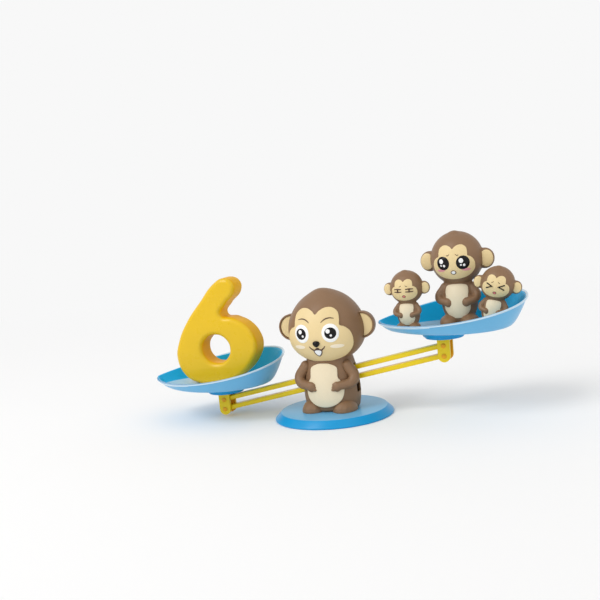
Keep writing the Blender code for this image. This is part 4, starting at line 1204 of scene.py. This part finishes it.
def make_dish_foot(label):
    """A round hub that narrows in a step to its foot, with the bore for the bracket's peg."""
    node = label + "_dish_foot"
    low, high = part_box(node)
    height, hole, edge, low_edge = high.z - low.z, 4.8 * MM, 0.8 * MM, 1.0 * MM
    top_radius = 0.5 * (high.x - low.x)
    bottom_radius = top_radius - 5.0 * MM
    profile = [(hole, height), (top_radius - edge, height)]
    profile += arc(top_radius - edge, height - edge, edge, 90.0, -20.0)
    profile += [(top_radius - 1.6 * MM, 0.62 * height), (bottom_radius + 2.0 * MM, 0.25 * height)]
    profile += arc(bottom_radius - low_edge, low_edge, low_edge, 30.0, -90.0)
    profile += [(hole, 0.0), (hole, height)]
    foot = turned(label + "_dish_hub", profile, closed=True)
    foot.location = (HANGERS[label].x, 0.0, low.z)
    smooth(settle(foot), 35.0)
    dressed(foot, deep_blue_and_base_side_shade(), label + "_hanger", "deep_blue_plastic", node)


# What stands in the dishes

def numeral_outline():
    """The edge of a fat, leaning 6 as shares of its width and height, from its foot round."""
    return [
        (0.42, 0.0), (0.24, 0.018), (0.09, 0.085), (0.0, 0.26), (0.045, 0.425), (0.18, 0.618),
        (0.365, 0.795), (0.55, 0.955), (0.67, 1.0), (0.785, 0.955), (0.79, 0.865), (0.665, 0.755),
        (0.60, 0.66), (0.735, 0.628), (0.885, 0.56), (0.98, 0.45), (1.0, 0.35), (0.95, 0.235),
        (0.80, 0.10), (0.62, 0.022),
    ]


def make_numeral():
    """A bevelled curve made solid, with a small flat to stand on."""
    p = parts()
    foot, flat = 0.44 * p.numeral_width, 1.6 * MM
    outer = [(x * p.numeral_width - foot, z * p.numeral_height) for x, z in numeral_outline()]
    hole = ellipse(0.50 * p.numeral_width - foot, 0.34 * p.numeral_height, 17.0 * MM, 16.0 * MM, 8)
    numeral = curve_mesh(
        "numeral_six_piece", [[((x, z, 0.0), 1.0) for x, z in outline] for outline in (outer, hole)],
        closed=True, dimensions="2D", fill_mode="BOTH", resolution_u=14,
        extrude=0.5 * p.numeral_thickness - p.numeral_edge, bevel_depth=p.numeral_edge,
        bevel_resolution=8, offset=-p.numeral_edge,
    )
    weld(face_front(numeral, (0.0, 0.0, 0.0)))
    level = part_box("numeral_six")[0].z
    numeral.location = (HANGERS["left"].x - p.dish_offset, 0.0, level - flat)
    settle(numeral)
    cut(numeral, block("below", (-0.5, -0.2, level - 0.1), (0.0, 0.2, level)))
    smooth(numeral, 35.0)
    dressed(numeral, (numeral_yellow(), numeral_painted_side_shade()), "numeral", "numeral_plastic", "numeral_six")
    # The sides get the amber as painted shade; front and back keep the numeral yellow
    recolour(numeral, 1, lambda face: abs(face.normal.y) < 0.35)


def counter_figure(name, height, head_share):
    """A sitting monkey in one moulding, from balls and tubes in shares of its height."""
    def at(x, y, z):
        return x * height, y * height, z * height

    forms = [
        ball("trunk", at(0.0, 0.0, 0.25), at(0.20, 0.17, 0.27)),
        ball("head", at(0.0, 0.0, head_share - 0.004), at(0.285, 0.25, 0.289)),
        ball("crest", at(-0.01, -0.03, 0.915), at(0.1, 0.09, 0.085)),
    ]
    for side in SIDES.values():
        forms.append(ball("ear", at(side * 0.30, 0.0, head_share - 0.02), at(0.105, 0.045, 0.112), 40, 24))
        forms.append(ball("foot", at(side * 0.115, -0.075, 0.02), at(0.10, 0.13, 0.085), 40, 24))
        arm = [at(side * 0.15, -0.04, 0.40), at(side * 0.205, -0.09, 0.29), at(side * 0.10, -0.15, 0.24)]
        forms.append(tube("arm", arm, at(0.045, 0.045, 0.040)))
        forms.append(ball("shoulder", arm[0], at(0.0455, 0.0455, 0.0455), 32, 20))
        forms.append(ball("hand", arm[-1], at(0.045, 0.035, 0.045), 32, 20))
    return moulded(name, forms, voxel=0.009 * height, rounds=5)


def counter_belly(name, height):
    """The pale belly skin, laid on a trunk without arms."""
    radii = (0.20 * height, 0.17 * height, 0.27 * height)
    trunk = settle(ball("trunk", (0.0, 0.0, 0.25 * height), radii))
    right = [(0.075, 0.085), (0.128, 0.15), (0.138, 0.225), (0.118, 0.30), (0.122, 0.36), (0.10, 0.42)]
    outline = [(x * height, z * height) for x, z in mirrored(0.068, right, 0.435)]
    belly = skin_on(name, trunk, outline, -0.004 * height, 0.009 * height, rings=12)
    remove(trunk)
    return belly


def counter_face(face, node, mood):
    """The painted eyes, brows, mouth and cheeks of a counter."""
    marks = []
    for label, side in SIDES.items():
        name = f"{node}_{label}"
        if mood == "open":
            marks += dark_eye(face, name, side)
            marks.append(brow(face, name, side, [(4.6, 6.6), (7.4, 4.6), (9.8, 5.2)], 0.6))
        else:
            marks += shut_eye(face, name, side, mood)
            marks.append(brow(face, name, side, [(5.0, 5.5), (7.6, 3.4), (10.6, 2.4)], 0.75))
    marks += small_mouth(face, node, eye_white() if mood == "open" else mouth_red())
    if mood == "open":
        lower = Face(face.target, face.centre_z - 0.5 * MM, face.unit / MM, 0.05 * MM)
        marks += cheeks(lower, node, cheek_pink())
    return marks


def make_counter(node, height, x, y, lean, body, mood):
    """A small monkey in one moulding with painted face, belly and ears."""
    head_share, face_share, half_head_share = 0.705, 0.719, 0.285
    scale = half_head_share * height / (42.0 * MM)
    face_z = face_share * height
    figure = counter_figure(node + "_figure", height, head_share)
    outline = Face(figure, face_z, 0.94 * scale).places(face_outline())
    plate = skin_on(node + "_face", figure, outline, 0.0, 0.006 * height, rings=16)
    marks = [(plate, face_beige()), (counter_belly(node + "_belly", height), belly_cream())]
    for label, side in SIDES.items():
        oval = (share * height for share in (side * 0.322, head_share - 0.02, 0.072, 0.090, 0.008))
        marks.append((dome_on(f"{node}_{label}_ear_disc", figure, *oval), face_beige()))
    marks += counter_face(Face(plate, face_z, scale), node, mood)
    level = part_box(node)[0].z
    carry = Matrix.Translation((x, y, level)) @ Matrix.Rotation(lean, 4, "Y")
    figure.data.transform(carry)
    cut(figure, block("below", (x - 0.1, y - 0.1, level - 0.1), (x + 0.1, y + 0.1, level)))
    dressed_brown(smooth(figure, 60.0), node, body=body)
    for piece, look in marks:
        piece.data.transform(carry)
        dressed(piece, look, body, "brown_plastic")


# Fasteners

def make_screws():
    finish_packed(
        bright_steel(), "base_screw_front", "base_screw_rear", "body_screw_left", "body_screw_right",
        "head_screw_left", "head_screw_right",
    )


# The stage

def show_instead(tree, lit, seen, output, share=None):
    """Rays from the camera, gloss and clear pieces find the seen shader, and other rays the lit one."""
    path = shader(tree, "ShaderNodeLightPath").outputs
    rays = calculate(tree, "MAXIMUM", path["Is Glossy Ray"], path["Is Transmission Ray"])
    rays = calculate(tree, "MAXIMUM", path["Is Camera Ray"], rays)
    factor = times(tree, share, rays) if share else rays
    mix = shader(tree, "ShaderNodeMixShader", {"Fac": factor, 1: lit, 2: seen})
    tree.links.new(mix.outputs["Shader"], tree.nodes[output].inputs["Surface"])


def make_floor():
    """A wide floor that fades into the backdrop far out."""
    clear()
    bpy.ops.mesh.primitive_circle_add(
        vertices=96, radius=8.0, fill_type="NGON", location=(0.0, 0.0, -0.05 * MM)
    )
    floor = named("floor")
    look = plastic("floor_matte", "floor", 0.75, 0.0, 0.03, 0.0, shine=0.2)
    tree = look.node_tree
    fade_start, fade_end = 0.4, 1.5
    reach = shader(tree, "ShaderNodeVectorMath", {0: object_place(tree)}, operation="LENGTH")
    glow = shader(tree, "ShaderNodeEmission", {"Color": (*colours().backdrop, 1.0)}).outputs["Emission"]
    far = remap(tree, reach.outputs["Value"], fade_start, fade_end, 0.0, 1.0)
    show_instead(tree, tree.nodes["Principled BSDF"].outputs["BSDF"], glow, "Material Output", far)
    floor.data.materials.append(look)


def make_world():
    """Even light from all round. The camera and glossy surfaces see the pale backdrop."""
    world = bpy.data.worlds.new("studio")
    bpy.context.scene.world = world
    world.use_nodes = True
    tree = world.node_tree
    light = tree.nodes["Background"]
    light.inputs["Color"].default_value = (1.0, 1.0, 1.0, 1.0)
    light.inputs["Strength"].default_value = 0.72
    seen = shader(tree, "ShaderNodeBackground", {"Color": (*colours().backdrop, 1.0), "Strength": 1.0})
    show_instead(tree, light.outputs["Background"], seen.outputs["Background"], "World Output")


def lamp(name, kind, energy, place, turn, **settings):
    """Adds a light with these settings."""
    bpy.ops.object.light_add(type=kind, location=place, rotation=turn)
    light = named(name).data
    light.energy = energy
    for key, value in settings.items():
        setattr(light, key, value)


def sun(name, strength, spread, tilt, turn, colour=(1.0, 1.0, 1.0)):
    """A sun with its spread, tilt and turn in degrees."""
    rotation = (radians(tilt), 0.0, radians(turn))
    lamp(name, "SUN", strength, (0.0, 0.0, 0.0), rotation, angle=radians(spread), color=colour)


def softbox(name, place, target, size, power):
    """A rectangular light that looks from its place to its target."""
    turn = (Vector(target) - Vector(place)).to_track_quat("-Z", "Y").to_euler()
    lamp(name, "AREA", power, place, turn, shape="RECTANGLE", size=size[0], size_y=size[1])


def make_camera():
    """Looks from the right of the front and from a little above, turned as the picture is."""
    azimuth, elevation, roll = radians(20.0), radians(10.0), radians(5.2)
    distance, focal_pixels, picture = 1.0, 930.0, 600.0
    centre_x, centre_y = 329.6, 355.0
    target = Vector((0.0, 0.0, 0.066))
    level = cos(elevation)
    away = Vector((sin(azimuth) * level, -cos(azimuth) * level, sin(elevation)))
    bpy.ops.object.camera_add(location=target + away * distance)
    camera = bpy.context.object
    turn = (-away).to_track_quat("-Z", "Y").to_matrix().to_4x4() @ Matrix.Rotation(-roll, 4, "Z")
    camera.rotation_euler = turn.to_euler()
    camera.data.sensor_width = 36.0
    camera.data.lens = focal_pixels / picture * camera.data.sensor_width
    camera.data.shift_x = (0.5 * picture - centre_x) / picture
    camera.data.shift_y = (centre_y - 0.5 * picture) / picture
    bpy.context.scene.camera = camera


# Operators, one for each piece or group of like pieces

class BALANCE_OT_stand(bpy.types.Operator):
    """Model the round base and finish its cover"""

    bl_idname = "balance.stand"
    bl_label = "Base"

    def execute(self, context):
        make_base()
        return {"FINISHED"}


class BALANCE_OT_body(bpy.types.Operator):
    """Model the hollow body shells and the belly plate"""

    bl_idname = "balance.body"
    bl_label = "Body"

    def execute(self, context):
        make_body()
        return {"FINISHED"}


class BALANCE_OT_head(bpy.types.Operator):
    """Model the two shells of the head"""

    bl_idname = "balance.head"
    bl_label = "Head"

    def execute(self, context):
        make_head()
        return {"FINISHED"}


class BALANCE_OT_face(bpy.types.Operator):
    """Model the face plate, the eyes, the nose and the painted lines"""

    bl_idname = "balance.face"
    bl_label = "Face"

    def execute(self, context):
        make_face()
        return {"FINISHED"}


class BALANCE_OT_ears(bpy.types.Operator):
    """Model the ears and the pale discs in them"""

    bl_idname = "balance.ears"
    bl_label = "Ears"

    def execute(self, context):
        make_ears()
        return {"FINISHED"}


class BALANCE_OT_limbs(bpy.types.Operator):
    """Model the arms and feet"""

    bl_idname = "balance.limbs"
    bl_label = "Arms and feet"

    def execute(self, context):
        make_limbs()
        return {"FINISHED"}


class BALANCE_OT_linkage(bpy.types.Operator):
    """Finish the bars and axles and model the brackets and rivets"""

    bl_idname = "balance.linkage"
    bl_label = "Bars and brackets"

    def execute(self, context):
        make_linkage()
        return {"FINISHED"}


class BALANCE_OT_dishes(bpy.types.Operator):
    """Model the two scoop dishes and their hubs"""

    bl_idname = "balance.dishes"
    bl_label = "Dishes"

    def execute(self, context):
        for label in SIDES:
            make_dish(label)
            make_dish_foot(label)
        return {"FINISHED"}


class BALANCE_OT_numeral(bpy.types.Operator):
    """Model the standing numeral"""

    bl_idname = "balance.numeral"
    bl_label = "Numeral"

    def execute(self, context):
        make_numeral()
        return {"FINISHED"}


class BALANCE_OT_counters(bpy.types.Operator):
    """Model the three monkey counters"""

    bl_idname = "balance.counters"
    bl_label = "Counters"

    def execute(self, context):
        p = parts()
        hanger = HANGERS["right"].x
        make_counter("counter_large", p.large_counter, hanger + 15.0 * MM, 15.0 * MM, 0.0,
                     "large_counter", "open")
        make_counter("counter_small_left", p.small_counter, hanger - 34.0 * MM, -8.0 * MM, 0.0,
                     "small_counter_left", "closed")
        make_counter("counter_small_right", p.small_counter, hanger + 50.0 * MM, -8.0 * MM,
                     radians(12.0), "small_counter_right", "squeezed")
        return {"FINISHED"}


class BALANCE_OT_screws(bpy.types.Operator):
    """Finish the screws"""

    bl_idname = "balance.screws"
    bl_label = "Screws"

    def execute(self, context):
        make_screws()
        return {"FINISHED"}


class BALANCE_OT_stage(bpy.types.Operator):
    """Set the floor, the lights, the backdrop and the camera"""

    bl_idname = "balance.stage"
    bl_label = "Stage"

    def execute(self, context):
        make_floor()
        make_world()
        sun("key", strength=0.8, spread=24.0, tilt=42.0, turn=-34.0, colour=(1.0, 0.99, 0.975))
        sun("fill", strength=0.2, spread=60.0, tilt=55.0, turn=62.0)
        softbox("window", place=(-0.9, -1.1, 0.9), target=(0.0, 0.0, 0.1), size=(0.9, 0.6), power=3.5)
        make_camera()
        context.scene.view_settings.view_transform = "Standard"
        return {"FINISHED"}


class BALANCE_PT_panel(bpy.types.Panel):
    """The steps and settings of the number balance"""

    bl_idname = "BALANCE_PT_panel"
    bl_label = "Number Balance"
    bl_space_type = "VIEW_3D"
    bl_region_type = "UI"
    bl_category = "Balance"

    def draw(self, context):
        for step in STEPS:
            self.layout.operator(step.bl_idname)
        for name, kind in SETTINGS.items():
            box = self.layout.box()
            for key in kind.__annotations__:
                box.prop(getattr(context.scene, name), key)


SETTINGS = {"monkey_sizes": MonkeySizes, "balance_sizes": BalanceSizes, "balance_colours": BalanceColours}
STEPS = (
    BALANCE_OT_stage, BALANCE_OT_stand, BALANCE_OT_body, BALANCE_OT_head, BALANCE_OT_face,
    BALANCE_OT_ears, BALANCE_OT_limbs, BALANCE_OT_linkage, BALANCE_OT_dishes, BALANCE_OT_numeral,
    BALANCE_OT_counters, BALANCE_OT_screws,
)
CLASSES = (*SETTINGS.values(), *STEPS, BALANCE_PT_panel)


def register():
    for each in CLASSES:
        bpy.utils.register_class(each)
    for name, kind in SETTINGS.items():
        setattr(bpy.types.Scene, name, PointerProperty(type=kind))


def unregister():
    for name in SETTINGS:
        delattr(bpy.types.Scene, name)
    for each in reversed(CLASSES):
        bpy.utils.unregister_class(each)


def main():
    register()
    bpy.ops.balance.stage()
    bpy.ops.balance.stand()
    bpy.ops.balance.body()
    bpy.ops.balance.head()
    bpy.ops.balance.face()
    bpy.ops.balance.ears()
    bpy.ops.balance.limbs()
    bpy.ops.balance.linkage()
    bpy.ops.balance.dishes()
    bpy.ops.balance.numeral()
    bpy.ops.balance.counters()
    bpy.ops.balance.screws()


if __name__ == "__main__":
    main()
